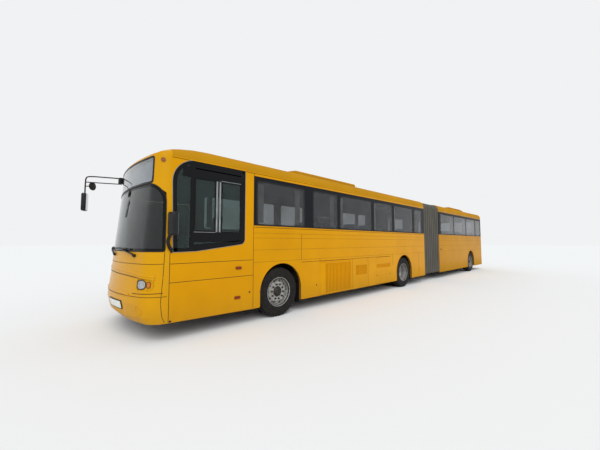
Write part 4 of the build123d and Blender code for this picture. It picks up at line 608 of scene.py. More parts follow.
FOLDS = 8
along = np.linspace(0, 1, FOLDS * 18 + 1)
wave = 0.5 - 0.5 * np.cos(2 * np.pi * FOLDS * along)
inset = 0.022 + 0.075 * (wave**0.7)
sag = 0.004 * np.sin(np.arange(len(along)) * 1.7)
y, z = body_section(inset + np.abs(sag) * 0.5, 14)
x = REAR_START_X + 0.002 + (FRONT_END_X - REAR_START_X - 0.004) * along[:, None] + 0 * y
outer = np.stack([x, y, z], -1)
y, z = body_section(inset + 0.007, 14)
inner = np.stack([x, y, z], -1)

bellows_cloth, tree, shader, place = new_material("coated_bellows_fabric")
x_axis = axis_of(tree, place)[0]
turns = 2 * math.pi * FOLDS / (FRONT_END_X - REAR_START_X)
fold = calc(tree, "SINE", calc(tree, "MULTIPLY_ADD", x_axis, turns, -turns * REAR_START_X - math.pi / 2))
# Painted light and shade: the fabric is one grey, but its colour is made dark in the valleys of the folds and
# light on the ridges.
painted_fold_light_and_shade = ramp(tree, fold, 0.7, -0.7)
dirt = noise(tree, place, 170, 5.0, (1, 1, 0.3))
colour = mix(tree, painted_fold_light_and_shade, "#1A1917", "#625F58")
colour = mix(tree, calc(tree, "MULTIPLY", ramp(tree, dirt, 0.45, 0.75), 0.5), colour, "#4A463D")
surface(tree, shader, colour, roughness=0.80, specular=0.12)
bump(tree, shader, noise(tree, place, 18, 3.0), 0.4, 1.0)
bellows = piece("bellows_sleeve", [sheet(outer, inner, True)], [bellows_cloth], None)
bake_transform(bellows)
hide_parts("bellows")

# %% [markdown]
# A truck wheel is a forged steel disc, dished towards the axle, welded into a rim, with ten hand holes and ten
# nuts. The tyre is a turned section too: three grooves run round the tread and short slots cross its
# shoulders. Everything turns about the axle, so each part is a section swept round, or one sector repeated.
# %% Wheel finishes
rubber, tree, shader, place = new_material("tyre_rubber")
worn = ramp(tree, noise(tree, place, 70, 6.0), 0.35, 0.75)
surface(tree, shader, mix(tree, worn, "#0D0C0B", "#211E1A"), roughness=0.78, specular=0.25)
bump(tree, shader, noise(tree, place, 7, 3.0), 0.5, 0.8)

wheel_paint, tree, shader, place = new_material("silver_wheel_paint")
grime = noise(tree, place, 45, 6.0)
colour = mix(tree, ramp(tree, grime, 0.42, 0.68), "#A3A3A0", "#77726A")
rust = ramp(tree, noise(tree, place, 18, 4.0), 0.6, 0.72)
colour = mix(tree, calc(tree, "MULTIPLY", rust, 0.7), colour, "#5A4330")
surface(tree, shader, colour, metallic=0.25, roughness=0.48)
bump(tree, shader, noise(tree, place, 9, 3.0), 0.4, 0.5)
hub_black = finish("greasy_black_hub", "#15130F", "#2E2820", 30, 0.55, 0.3, 0.6, 4)

TYRE_R, AXLE_Z, TYRE_STEPS, HAND_HOLES = 0.510, 0.510, 216, 10


def tyre_points(out_y, centre):
    """Tyre sweep: the section's radius drops 12 mm in three grooves, and in slots that cross the shoulders
    every ten degrees."""
    side = np.array([(-0.119, 0.292), (-0.133, 0.302), (-0.1435, 0.345), (-0.1450, 0.385), (-0.1435, 0.425),
                     (-0.139, 0.458), (-0.134, 0.474)])
    shoulder = np.array([(-0.129, 0.492), (-0.117, 0.503)])
    flat = np.linspace(-0.103, 0.103, 41)
    tread_r = TYRE_R - 0.0005 - 0.004 * (flat / 0.103)**2
    groove = (np.abs(np.abs(flat) - 0.058) < 0.007) | (np.abs(flat) < 0.006)
    tread = np.stack([flat, tread_r - 0.012 * groove], -1)
    section = np.concatenate([side, shoulder, tread, shoulder[::-1] * (-1, 1), side[::-1] * (-1, 1),
                              [(0.112, 0.279), (-0.112, 0.279)]])
    angle = np.linspace(0, 2 * np.pi, TYRE_STEPS, endpoint=False)[:, None]
    out, radius = section[:, 0] + 0 * angle, section[:, 1] + 0 * angle
    slot = (np.arange(TYRE_STEPS)[:, None] % 6 < 2) & (np.abs(out) > 0.072) & (radius > 0.47)
    radius = radius - 0.010 * slot
    faces = rows_of_faces(TYRE_STEPS + 1, len(section), True)[0]
    return around(centre, out_y + out, radius, angle).reshape(-1, 3), faces % (TYRE_STEPS * len(section))


def holed_disc(centre, face, foot, way):
    """One sector holds a round hand hole: rays run from the hole's edge to the sector's edge, and its height
    falls from the flat middle to the rim. Ten sectors make the disc."""
    turn = np.linspace(0, 2 * np.pi, 49)[None]
    step = np.array([0.0, 0.12, 0.45, 1.0])[:, None]
    cos, sin = np.cos(turn), np.sin(turn)
    hole_r, hole_a = 0.228 + 0.024 * sin, 0.024 * cos / 0.228
    half_a = np.pi / HAND_HOLES
    reach = 1 / np.maximum(np.abs(cos) / half_a, np.abs(sin) / 0.040)
    edge_r, edge_a = 0.230 + reach * sin, reach * cos
    edge_r = np.where(sin > 0, 0.230 + (edge_r - 0.230) * 1.30, edge_r)
    radius, angle = hole_r + (edge_r - hole_r) * step, hole_a + (edge_a - hole_a) * step
    share = np.clip((radius - 0.195) / 0.087, 0, 1)
    height = face + (foot + 0.014 - face) * share
    return [sheet(*[around(centre, way * (height - drop), radius, angle + 2 * half_a * number)
                    for drop in (0.0, 0.014)]) for number in range(HAND_HOLES)]


def ring_of(centre, pitch_r, out, radius, height, count, way):
    """A ring of nuts: each a short hexagonal bar with a domed end."""
    parts = []
    for angle in np.arange(count) * 2 * np.pi / count + 0.1:
        foot = np.asarray(centre) + (pitch_r * math.cos(angle), way * out, pitch_r * math.sin(angle))
        parts.append(bar([foot, foot + (0, way * height, 0)], radius, 6))
        parts.append(bar([foot, foot + (0, way * (height + 0.014), 0)], radius * 0.55, 10))
    return parts


# The sections of rim and hubs: the distance outwards from the wheel's middle, and the radius
RIM = [(-0.134, 0.301), (-0.134, 0.292), (-0.118, 0.290), (-0.060, 0.276), (0.090, 0.276), (0.118, 0.290),
       (0.134, 0.292), (0.136, 0.298), (0.134, 0.302), (0.128, 0.300), (0.112, 0.296), (0.086, 0.284),
       (-0.058, 0.284), (-0.112, 0.296), (-0.128, 0.301)]
HUB = [(-0.010, 0.0402), (0.057, 0.0402), (0.059, 0.0), (0.110, 0.0), (0.104, 0.060), (0.094, 0.072),
       (0.084, 0.084), (0.076, 0.108), (-0.010, 0.108)]
TWIN_HUB = [(-0.120, 0.0402), (0.036, 0.0402), (0.038, 0.0), (0.118, 0.0), (0.112, 0.052), (0.060, 0.068),
            (0.034, 0.080), (0.030, 0.108), (-0.118, 0.108)]


def wheel_piece(name, axle_x, side, twin=False):
    """Tyres, rims, disc, hub and nuts of one wheel, with the outboard direction given by side."""
    middle = 0.929 if twin else 1.105
    centre = (axle_x, side * middle, AXLE_Z)
    tyres = (side * 0.166, -side * 0.166) if twin else (0.0,)
    parts = []
    for out in tyres:
        parts.append(tyre_points(out, centre))
        parts.append((*turned([(out + side * a, r) for a, r in RIM], centre), 1))
    ways = ((0.014, 0.075, side), (0.014, 0.075, -side)) if twin else ((0.075, 0.010, side),)
    for face, foot, way in ways:
        parts.extend((*part, 1) for part in holed_disc(centre, face, foot, way))
        back = face - 0.014
        flat = [(way * face, 0.040), (way * face, 0.197), (way * back, 0.197), (way * back, 0.040)]
        parts.append((*turned(flat, centre), 1))
    nut_face = 0.028 if twin else 0.075
    hub = TWIN_HUB if twin else HUB
    parts.append((*turned([(side * a, r) for a, r in hub], centre, 48), 2))
    parts.extend((*part, 2) for part in ring_of(centre, 0.152, nut_face, 0.019, 0.026, 10, side))
    piece(name + "_dressed", parts, [rubber, wheel_paint, hub_black], name, (name,), 30)


print("wheel shapes ready")

# %% [markdown]
# The driven axle carries twin wheels, the other two single ones. Each wheel body spins on its own axle, so
# each wheel is one piece that stands for the plain one of the CAD.
# %% Wheels
AXLES = (("front", "wheel", 6.106), ("drive", "wheels", 0.560), ("trailing", "wheel", -6.980))
for word, side in (("left", 1), ("right", -1)):
    for axle, noun, axle_x in AXLES:
        wheel_piece(f"{axle}_{word}_{noun}", axle_x, side, axle == "drive")

# %% [markdown]
# The windscreen and the route sign's window are bent laminated glass. A black ceramic band is baked on round
# their edges, and a rubber profile covers the joint to the body. Glass lies a millimetre outside the skin.
# %% Windscreen and sign window
frit, tree, shader, place = new_material("black_ceramic_frit")
dots = ramp(tree, noise(tree, place, 12), 0.4, 0.6)
surface(tree, shader, mix(tree, dots, "#0B0C0D", "#101113"), roughness=0.10, specular=0.15)


def screen_edge(height, low, high, edge_low, edge_high, low_r, high_r):
    """Distance over the skin from the middle to the glass's edge, with rounded lower and upper corners."""
    edge = np.interp(height, (low, high), (edge_low, edge_high))
    up = np.clip(height - (high - high_r), 0, high_r)
    down = np.clip((low + low_r) - height, 0, low_r)
    return edge - (high_r - np.sqrt(high_r**2 - up**2)) - (low_r - np.sqrt(low_r**2 - down**2))


def glass_grid(low, high, edges, radii, out, shrink=0.0, rows=64, columns=72):
    """Grid over a glass: rows crowd towards its upper and lower edges, columns run from edge to edge."""
    share = 0.5 - 0.5 * np.cos(np.linspace(0, np.pi, rows))
    height = (low + shrink + (high - low - 2 * shrink) * share)[:, None]
    edge = screen_edge(height, low + shrink, high - shrink, edges[0] - shrink, edges[1] - shrink,
                       max(radii[0] - shrink, 0.004), max(radii[1] - shrink, 0.004))
    along = edge * np.linspace(-1, 1, columns)[None]
    return nose_point(along, height, out)


def skin_edge(x, height):
    """Distance over the skin from the middle to where the nose has a given X."""
    steps = np.linspace(1.6, 0.9, 300)
    return float(np.interp(x, nose_point(steps, height)[:, 0], steps))


def outline_of(grid):
    """The closed outline of a grid, walked round once."""
    return np.concatenate([grid[0], grid[1:, -1], grid[-1, -2::-1], grid[-2:0:-1, 0]])


def nose_glass(name, low, high, edges, radii, band, node, gasket_r, pane_glass):
    """One bent glass: clear middle, frit ring between the two outlines, and the rubber profile."""
    full = glass_grid(low, high, edges, radii, 0.001)
    clear = glass_grid(low, high, edges, radii, 0.0012, band)
    back = glass_grid(low, high, edges, radii, -0.005, band)
    ring_out, ring_in = outline_of(full), outline_of(clear)
    ring = np.stack([ring_out, 0.5 * (ring_out + ring_in), ring_in])
    behind = ring - np.array([0.006, 0, 0])
    piece(name + "_clear", [sheet(clear, back)], [pane_glass], "front_section", (node,))
    piece(name + "_frit", [sheet(ring, behind, True)], [frit], "front_section")
    closed = np.concatenate([ring_out, ring_out[:2]])
    piece(name + "_rubber", [bar(closed, gasket_r, 8)], [rubber_trim], "front_section")


screen_edges = (skin_edge(8.400, 1.405), skin_edge(8.400, 2.478))
nose_glass("windscreen", 1.407, 2.476, screen_edges, (0.035, 0.300), 0.045, "windscreen", 0.008, screen_glass)
sign_edges = (float(nose_along(1.130, 2.60)), float(nose_along(1.130, 2.90)))
nose_glass("sign_window", 2.492, 2.923, sign_edges, (0.035, 0.045), 0.030, "sign_glass", 0.007, sign_pane_glass)

# %% [markdown]
# Behind the sign window hangs the roller blind that shows the route, here with nothing on it. Such blinds are
# pale cloth, so the window reads as a light field between its black edges.
# %% Sign board
blind = finish("blank_sign_blind", "#C2C7CF", "#B4BAC3", 60, 0.7, bump_mm=0.4, bump_size_mm=6)
board = glass_grid(2.53, 2.89, (sign_edges[0] - 0.12, sign_edges[1] - 0.12), (0.02, 0.02), -0.070, 0, 6, 30)
piece("sign_board", [sheet(board, board - (0.02, 0, 0))], [blind], "front_section")

# %% [markdown]
# Joints between panels, rubber round the panes, trim strips and lip mouldings are thin, so they are drawn as
# thin solids that stand a millimetre or two off the CAD wall. A joint is a dark strip: its shadow is what the
# eye sees from a few metres away.
# %% Strips and bands on the side walls
SUNK = 0.002  # how far a strip reaches into the wall


def strips(lines, width, side, proud):
    """Flat bars along straight lines on a side wall. Each line gives X, Z at its start and at its end."""
    lines = np.asarray(lines, float)
    start, end = lines[:, :2], lines[:, 2:]
    way = (end - start) / np.linalg.norm(end - start, axis=1, keepdims=True)
    across = np.stack([-way[:, 1], way[:, 0]], -1) * width / 2
    corners = np.stack([start - across, end - across, end + across, start + across], 1)
    y = np.array([HALF - SUNK, HALF + proud]) * side
    x, z = corners[..., 0], corners[..., 1]
    points = np.stack([np.stack([x, 0 * x + level, z], -1) for level in y], 1)
    cube = np.array([(0, 1, 2, 3), (7, 6, 5, 4), (0, 4, 5, 1), (1, 5, 6, 2), (2, 6, 7, 3), (3, 7, 4, 0)])
    faces = (np.arange(len(lines))[:, None, None] * 8 + cube[None]).reshape(-1, 4)
    return points.reshape(-1, 3), faces


def rounded(corners, radii, count=9):
    """Closed outline through corners, each cut by an arc that touches both its sides."""
    corners = np.asarray(corners, float)
    arcs = []
    for before, corner, after, radius in zip(np.roll(corners, 1, 0), corners, np.roll(corners, -1, 0), radii):
        first, second = before - corner, after - corner
        first, second = first / np.linalg.norm(first), second / np.linalg.norm(second)
        half = 0.5 * math.acos(float(np.clip(first @ second, -1, 1)))
        middle = corner + (first + second) / np.linalg.norm(first + second) * radius / math.sin(half)
        begin, finish_at = corner + first * radius / math.tan(half), corner + second * radius / math.tan(half)
        a, b = math.atan2(*(begin - middle)[::-1]), math.atan2(*(finish_at - middle)[::-1])
        turn = (b - a + math.pi) % (2 * math.pi) - math.pi
        angle = a + turn * np.linspace(0, 1, count)
        arcs.append(middle + radius * np.stack([np.cos(angle), np.sin(angle)], -1))
    return np.concatenate(arcs)


def inward(outline, distance):
    """The outline moved square to itself, inwards for a positive distance."""
    way = np.roll(outline, -1, 0) - np.roll(outline, 1, 0)
    way /= np.linalg.norm(way, axis=1, keepdims=True)
    normal = np.stack([-way[:, 1], way[:, 0]], -1)
    area = np.sum(outline[:, 0] * np.roll(outline[:, 1], -1) - outline[:, 1] * np.roll(outline[:, 0], -1))
    return outline + normal * distance * np.sign(area)


def band_loop(outline, width, side, proud):
    """A flat ring on a side wall between an outline and the same outline moved inwards."""
    inner = inward(outline, width)
    rings = []
    for ring, level in ((outline, -SUNK), (outline, proud), (inner, proud), (inner, -SUNK)):
        rings.append(np.stack([ring[:, 0], np.full(len(ring), side * (HALF + level)), ring[:, 1]], -1))
    points = np.stack(rings + rings[:1])
    faces = rows_of_faces(5, len(outline), True)[0]
    return points[:4].reshape(-1, 3), faces % (4 * len(outline))


def rectangle(low_x, high_x, low_z, high_z, radius):
    """Rounded rectangle outline."""
    return rounded([(low_x, low_z), (high_x, low_z), (high_x, high_z), (low_x, high_z)], [radius] * 4)


print("strip shapes ready")

# %% [markdown]
# Each side pane sits in a black rubber profile, seen as a thin matt line round the glass. The panes of both
# sides match, but the right side has a door where the left has one pane more.
# %% Rubber round the panes
LEFT_FRONT = [(5.408, 6.688), (4.209, 5.089), (2.609, 4.072), (1.368, 2.444), (-0.126, 1.214), (-0.901, -0.292)]
LEFT_REAR = [(-4.490, -2.861), (-6.288, -4.559), (-7.875, -6.371), (-8.850, -7.971)]
RUBBER_OUT, RUBBER_Z = 0.034, (1.881, 2.794)
for body, panes, door_at in (("front_section", LEFT_FRONT, 3), ("rear_section", LEFT_REAR, 1)):
    parts = []
    for side, spans in ((1, panes), (-1, panes[:door_at] + panes[door_at + 1:])):
        for low, high in spans:
            outline = rectangle(low - RUBBER_OUT, high + RUBBER_OUT, *RUBBER_Z, 0.075)
            parts.append(band_loop(outline, 0.032, side, 0.003))
    piece(body + "_pane_rubber", parts, [rubber_trim], body)

# %% [markdown]
# The driver's window is one dark unit with a sliding pane: a black frame, an aluminium track round the part
# that slides, and a grey upright between the two halves. The frame's bands lie on the glass, because the
# real one is a printed and bonded pane too.
# %% Driver's window frame
driver_corners = [(8.284, 1.392), (8.331, 2.928), (6.980, 2.928), (6.980, 1.522), (7.900, 1.402)]
driver_edge = rounded(driver_corners, [0.015, 0.390, 0.030, 0.100, 0.800], 14)
black = [band_loop(driver_edge, 0.064, 1, 0.004)]
black.append(strips([(7.00, 1.640, 7.98, 1.640), (7.00, 2.725, 8.16, 2.725)], 0.17, 1, 0.002))
black.append(strips([(7.00, 2.850, 7.98, 2.850)], 0.12, 1, 0.002))
black.append(strips([(7.035, 1.58, 7.035, 2.88), (7.990, 1.44, 7.990, 2.88)], 0.080, 1, 0.003))
black.append(strips([(7.02, 1.555, 7.98, 1.475)], 0.07, 1, 0.002))
black.append(band_loop(rectangle(7.078, 7.470, 1.722, 2.640, 0.03), 0.016, 1, 0.006))
black.append(band_loop(rectangle(7.580, 7.962, 1.730, 2.640, 0.02), 0.020, 1, 0.006))
track = [strips([(7.500, 1.73, 7.500, 2.63), (7.560, 1.73, 7.560, 2.63)], 0.026, 1, 0.008)]
track.append(strips([(7.580, 1.722, 7.962, 1.722), (7.080, 2.650, 7.480, 2.650)], 0.008, 1, 0.008))
track.append(band_loop(inward(driver_edge, -0.005), 0.006, 1, 0.006))
piece("driver_window_frame", black, [frit], "front_section")
piece("driver_window_track", track, [sheet_edge], "front_section")

# %% [markdown]
# Long pressed joints run along the whole side, and a bright trim strip closes the panels under the glass.
# A rain gutter hides the joint to the roof. As thin bars they catch light and shade, which a dark line in the
# paint's material would not.
# %% Joints, trim strips and gutters
def clear_of(spans, low, high):
    """The parts of a run from low to high that lie outside the given spans."""
    pieces, start = [], low
    for a, b in sorted(spans):
        if a > start:
            pieces.append((start, min(a, high)))
        start = max(start, b)
    if start < high:
        pieces.append((start, high))
    return [(a, b) for a, b in pieces if b - a > 0.02]


doors_front = [(1.500, 2.320), (7.050, 8.200)]
doors_rear = [(-6.100, -5.280)]
for body, low, high, sides in (("front_section", FRONT_END_X, 6.780, ((1, []), (-1, doors_front))),
                               ("rear_section", TAIL_X, REAR_START_X, ((1, []), (-1, doors_rear)))):
    dark, painted = [], []
    for side, doors in sides:
        for z in (1.734, 1.636, 1.398, 1.156):
            lines = [(a, z, b, z) for a, b in clear_of(doors, low, high)]
            dark.append(strips(lines, 0.0036, side, 0.0008))
        sill = [(a, 1.864, b, 1.864) for a, b in clear_of(doors, low, high)]
        painted.append(strips(sill, 0.022, side, 0.005))
        dark.append(strips([(a, 1.847, b, 1.847) for a, _, b, _ in sill], 0.008, side, 0.001))
        top = high if body == "rear_section" else CORNER_X
        painted.append(strips([(low, 2.930, top, 2.930)], 0.016, side, 0.008))
        dark.append(strips([(low, 2.919, top, 2.919)], 0.006, side, 0.002))
    if body == "front_section":
        lines = [(6.780, 0.290, 6.780, 2.915), (3.560, 0.285, 3.560, 1.100), (2.809, 0.285, 2.809, 1.100),
                 (2.377, 1.100, 3.613, 1.100), (4.875, 1.100, 5.480, 1.100), (-0.60, 0.285, -0.60, 1.156),
                 (6.780, 1.210, 8.327, 1.210), (6.780, 0.915, 8.327, 0.915), (8.327, 0.310, 8.327, 1.385),
                 (1.368, 1.156, 1.368, 0.80), (5.49, 1.156, 5.49, 1.736), (4.875, 1.10, 4.875, 1.156)]
        dark.append(strips(lines, 0.008, 1, 0.001))
        dark.append(strips([(6.780, 0.290, 6.780, 2.915)], 0.006, -1, 0.001))
    piece(body + "_joints", dark, [seam_shadow], body)
    piece(body + "_trim_strips", painted, [plain_paint], body)

# %% [markdown]
# The edge of each wheel opening is rolled outwards and painted, and a rubber seal lies behind it. The rolled
# edge gives the round highlight over the wheel.
# %% Wheel arch lips
ARCH_Z, SKIRT_EDGE = 0.550, 0.285


def arch_lip(middle_x, side, reach=0.565):
    """A rolled edge round a wheel opening: a bar along a half circle on two upright legs."""
    angle = np.linspace(0, np.pi, 49)
    x = np.concatenate([[middle_x + reach], middle_x + reach * np.cos(angle), [middle_x - reach]])
    z = np.concatenate([[SKIRT_EDGE], ARCH_Z + reach * np.sin(angle), [SKIRT_EDGE]])
    return np.stack([x, np.full(len(x), side * (HALF - 0.003)), z], -1)


for body, middles in (("front_section", (6.060, 0.560)), ("rear_section", (-6.980,))):
    places = [(middle, side) for middle in middles for side in (1, -1)]
    lips = [bar(arch_lip(middle, side), 0.011, 10) for middle, side in places]
    seals = [(*bar(arch_lip(middle, side, 0.556) - (0, side * 0.014, 0), 0.010, 8), 1)
             for middle, side in places]
    piece(body + "_arch_lips", lips + seals, [plain_paint, rubber_trim], body)

# %% [markdown]
# Locks and latches are round castings let into the panels. From a few metres each is a dark dot, so a short
# turned stud does, without a keyway.
# %% Locks
def knobs(places, side, radius, proud):
    """Short round studs on a side wall: each is a section swept round the Y direction."""
    parts = []
    for x, z in places:
        centre = (x, side * HALF, z)
        profile = [(-0.002, 0.0), (-0.002, radius), (proud * 0.7, radius), (proud, radius * 0.8), (proud, 0.0)]
        parts.append(turned([(side * a, r) for a, r in profile], centre, 20))
    return parts


locks = knobs([(4.995, 0.536), (8.300, 0.323), (6.86, 0.60), (-0.585, 0.544)], 1, 0.017, 0.005)
piece("panel_locks", locks, [black_plastic], "front_section")
lid_locks = knobs([(2.330, 0.542), (1.55, 0.542)], 1, 0.017, 0.005)
piece("left_lid_locks", lid_locks, [black_plastic], "left_lid")
rear_locks = knobs([(-2.80, 0.545)], 1, 0.017, 0.005) + knobs([(-8.1, 0.9), (-8.1, 0.5)], -1, 0.017, 0.005)
piece("rear_panel_locks", rear_locks, [black_plastic], "rear_section")

# %% [markdown]
# The nose has bezels round its lamps, joints between its moulded panels and soft ledges that part the light
# from the shade. Each follows the nose's own formula, a few millimetres off the skin.
# %% Nose details
def nose_line(points, out, count=24):
    """Points over the nose through the given (along, height) pairs, evenly spread."""
    points = np.asarray(points, float)
    steps = np.concatenate([[0], np.cumsum(np.linalg.norm(np.diff(points, axis=0), axis=1))])
    at = np.linspace(0, steps[-1], count)
    return nose_point(np.interp(at, steps, points[:, 0]), np.interp(at, steps, points[:, 1]), out)


def nose_rectangle(lateral, height, width, tall, radius, out):
    """Rounded rectangle on the nose, given by its middle and size seen from the front."""
    outline = rectangle(lateral - width / 2, lateral + width / 2, height - tall / 2, height + tall / 2, radius)
    along = np.array([nose_along(y, z) for y, z in outline])
    loop = nose_point(along, outline[:, 1], out)
    return np.concatenate([loop, loop[:2]])


edge_413 = skin_edge(8.413, 1.1)
dark = []
for z, reach in ((1.213, edge_413), (0.712, edge_413 + 0.08)):
    dark.append(bar(nose_line([(-reach, z), (reach, z)], 0.0, 60), 0.004, 6))
for side in (1, -1):
    dark.append(bar(nose_line([(side * edge_413, 0.32), (side * edge_413, 1.400)], 0.0, 30), 0.004, 6))
    dark.append(bar(nose_line([(side * 0.90, 0.757), (side * 1.434, 0.769)], 0.0, 30), 0.005, 6))
    # Below the ledges a dark bar along the crease is painted shade, where the ledge overhangs the panel.
    crease = [(0, 1.040), (side * 0.641, 1.022), (side * 1.045, 0.995), (side * 1.20, 0.985)]
    dark.append(bar(nose_line(crease, -0.001, 60), 0.006, 6))
piece("nose_joints_and_ledge_shade", dark, [seam_shadow], "front_section")

bezels = []
for side in (1, -1):
    bezels.append(bar(nose_rectangle(side * 1.055, 0.900, 0.150, 0.135, 0.052, -0.002), 0.006, 8))
    bezels.append(bar(nose_rectangle(side * 1.165, 0.900, 0.042, 0.088, 0.014, -0.002), 0.004, 8))
piece("lamp_bezels", bezels, [black_plastic], "front_section")
ledges = []
for side in (1, -1):
    upper = [(0, 1.112), (side * 0.641, 1.093), (side * 1.045, 1.045), (side * 1.30, 1.018)]
    lower = [(0, 0.748), (side * 0.45, 0.744), (side * 0.80, 0.730)]
    ledges.append(bar(nose_line(upper, -0.012, 60), 0.026, 14))
    ledges.append(bar(nose_line([(a, z - 0.034) for a, z in upper], -0.017, 60), 0.026, 14))
    ledges.append(bar(nose_line(lower, -0.010, 40), 0.024, 14))
    ring = np.linspace(0, 2 * np.pi, 34)
    rim = nose_point(side * 1.055 + 0.070 * np.cos(ring), 0.510 + 0.070 * np.sin(ring), -0.004)
    ledges.append(bar(rim, 0.011, 10))
piece("nose_ledges", ledges, [nose_paint], "front_section")

pockets = [bar(nose_rectangle(side * 1.090, 0.900, 0.252, 0.177, 0.056, 0.0), 0.007, 8) for side in (1, -1)]
piece("lamp_pocket_lips", pockets, [nose_paint], "front_section")

# %% [markdown]
# Two wipers are parked low on the windscreen: a pressed arm on a round pivot, a bridge and a rubber blade.
# Their bars follow the nose's formula too, so that the blade lies along the glass.
# %% Wipers
PIVOT_Z = 1.338
wiper_parts = []
for pivot, middle in ((0.850, 0.330), (-0.060, -0.690)):
    start, mid = nose_along(pivot, PIVOT_Z), nose_along(middle, 1.440)
    for ends, out, count, radius, sides, flat in (
            ([(start, PIVOT_Z), (start - 0.05, 1.365), (mid, 1.452)], 0.026, 30, 0.017, 10, 0.7),
            ([(mid + 0.38, 1.436), (mid - 0.38, 1.444)], 0.014, 30, 0.013, 8, 1.0),
            ([(mid + 0.26, 1.446), (mid - 0.26, 1.456)], 0.026, 20, 0.012, 8, 1.0)):
        wiper_parts.append(bar(nose_line(ends, out, count), radius, sides, flat))
    foot, top = nose_point(start, PIVOT_Z, 0.0), nose_point(start, PIVOT_Z, 0.030)
    wiper_parts.append(bar(np.linspace(foot, top, 5), 0.024, 20))
piece("wipers_dressed", wiper_parts, [black_plastic], "front_section", ("wipers",))

# %% [markdown]
# The mirrors hang on bent tubes. The right-hand one is far ahead of the nose on two tubes from a clamp, with
# a round wide-angle head beside its drop tube. The left-hand one stands on a moulded arm. Each tube is a bar
# along a smoothed line, which bends as a real tube does, where a curve object would need to be converted.
# %% Mirrors
def bent(points):
    """A smooth line near the given points: its corners are cut three times."""
    path = np.asarray(points, float)
    for _ in range(3):
        cut = np.empty((2 * len(path), 3))
        cut[0], cut[-1] = path[0], path[-1]
        cut[1:-1:2] = 0.75 * path[:-1] + 0.25 * path[1:]
        cut[2:-1:2] = 0.25 * path[:-1] + 0.75 * path[1:]
        path = cut
    return path


tube_parts = []
upper_tube = [(8.610, -1.030, 2.908), (8.86, -1.12, 2.908), (9.140, -1.240, 2.912), (9.200, -1.262, 2.880),
              (9.202, -1.268, 2.70), (9.200, -1.275, 2.50)]
lower_tube = [(8.610, -1.030, 2.787), (8.9, -1.145, 2.785), (9.200, -1.265, 2.787)]
side_tube = [(9.200, -1.270, 2.702), (9.14, -1.240, 2.705), (9.115, -1.220, 2.702)]
for path, radius, sides in ((upper_tube, 0.0125, 14), (lower_tube, 0.0105, 12), (side_tube, 0.010, 12)):
    tube_parts.append((*bar(bent(path), radius, sides), 1))
tube_parts.append(soft_box((8.600, -1.030, 2.854), (0.136, 0.106, 0.132), 0.018))
for centre, yaw in (((9.200, -1.290, 2.375), -20), ((8.327, 1.375, 1.843), 20)):
    tube_parts.append(soft_box(centre, (0.088, 0.168, 0.368), 0.030, yaw, 12))
    turn = math.radians(yaw)
    glass_centre = (centre[0] - 0.0435 * math.cos(turn), centre[1] - 0.0435 * math.sin(turn), centre[2])
    tube_parts.append((*soft_box(glass_centre, (0.003, 0.140, 0.335), 0.0014, yaw, 6), 2))
turn = math.radians(-45)
ball = np.array([(9.100, -1.205, 2.702)])
way = np.array([math.cos(turn), math.sin(turn), 0.0])
share = np.linspace(0, 1, 9)
disc_path = ball + way * np.concatenate([[-0.022], -0.021 + 0.043 * share, [0.023]])[:, None]
round_r = 0.086 * np.sqrt(np.clip(1 - np.concatenate([[0], share, [1]])**2 * 0.75, 0.05, 1))
rings, ring_faces = bar(disc_path, 1.0, 32)
rings = rings.reshape(-1, 32, 3)
middles = rings.mean(1, keepdims=True)
scale = np.concatenate([[1.0], round_r, [1.0]])[:, None, None]
tube_parts.append(((middles + (rings - middles) * scale).reshape(-1, 3), ring_faces))
left_arm = [(8.309, 1.280, 1.425), (8.350, 1.315, 1.470), (8.392, 1.350, 1.560), (8.372, 1.372, 1.650),
            (8.340, 1.375, 1.720)]
tube_parts.append(bar(bent(left_arm), 0.027, 16))
tube_parts.append(soft_box((8.309, 1.284, 1.425), (0.036, 0.017, 0.078), 0.006))
mirror_looks = [mirror_shell, black_plastic, mirror_glass]
piece("mirrors_dressed", tube_parts, mirror_looks, "front_section", ("mirrors",))

# %% [markdown]
# A coach seat is a moulded foam cushion and back under a fitted cover, sewn in panels, on a low steel frame.
# Each pad is a closed grid: a rounded block whose faces swell in the middle and sink along sewn channels.
# Seventy-two pads by simulation would take longer than the rest of the scene, so the swelling is computed.
# %% Seat pads
PAD_COUNT, CHANNEL_DEEP, CHANNEL_HALF = 17, 0.008, 0.011


def pad(centre, size, radius, swell, channels):
    """Rounded block on a cube's grid. Faces bulge by swell times the product of two cosines, and the front
    face drops by 8 mm in narrow valleys at the given heights."""
    steps = np.linspace(-1, 1, PAD_COUNT)
    u, v = np.meshgrid(steps, steps, indexing="ij")
    one = np.ones_like(u)
    half = np.asarray(size) / 2
    core = half - radius
    faces = rows_of_faces(PAD_COUNT, PAD_COUNT)[0]
    parts = []
    for a, b, c in ((u, v, one), (-u, v, -one), (one, u, v), (-one, -u, v), (v, one, u), (-v, -one, u)):
        point = np.stack([a * half[0], b * half[1], c * half[2]], -1)
        inner = np.clip(point, -core, core)
        way = point - inner
        length = np.maximum(np.linalg.norm(way, axis=-1, keepdims=True), 1e-9)
        point = inner + way / length * radius
        swell_a, swell_b, swell_c = (np.cos(value * np.pi / 2.2) for value in (a, b, c))
        point[..., 2] += swell * swell_a * swell_b * c
        point[..., 0] += swell * 0.6 * swell_b * swell_c * a
        fade = (c > 0.5) * np.clip((half[1] - np.abs(point[..., 1])) / 0.03, 0, 1)
        for channel in channels:
            valley = np.exp(-((point[..., 0] - channel) / CHANNEL_HALF)**2)
            point[..., 2] -= CHANNEL_DEEP * valley * fade
        parts.append(((centre + point).reshape(-1, 3), faces))
    return parts


print("pad shape ready")

# %% [markdown]
# The passengers' seats stand in pairs, one beside the other on a pair of rails and legs of round tube. Their
# pads stand for the plain blocks of the CAD, and the tubes fill the dark space under them.
# %% Seats
SEAT_BASE, CUSHION_H, CUSHION_L, SEAT_W = 1.35, 0.095, 0.44, 0.43
BACK_T, BACK_H, BACK_LEAN = 0.075, 0.64, 0.11
LEG_FOOT, PAIR_Y, PAIR_HALF = 1.003, 0.760, 0.225


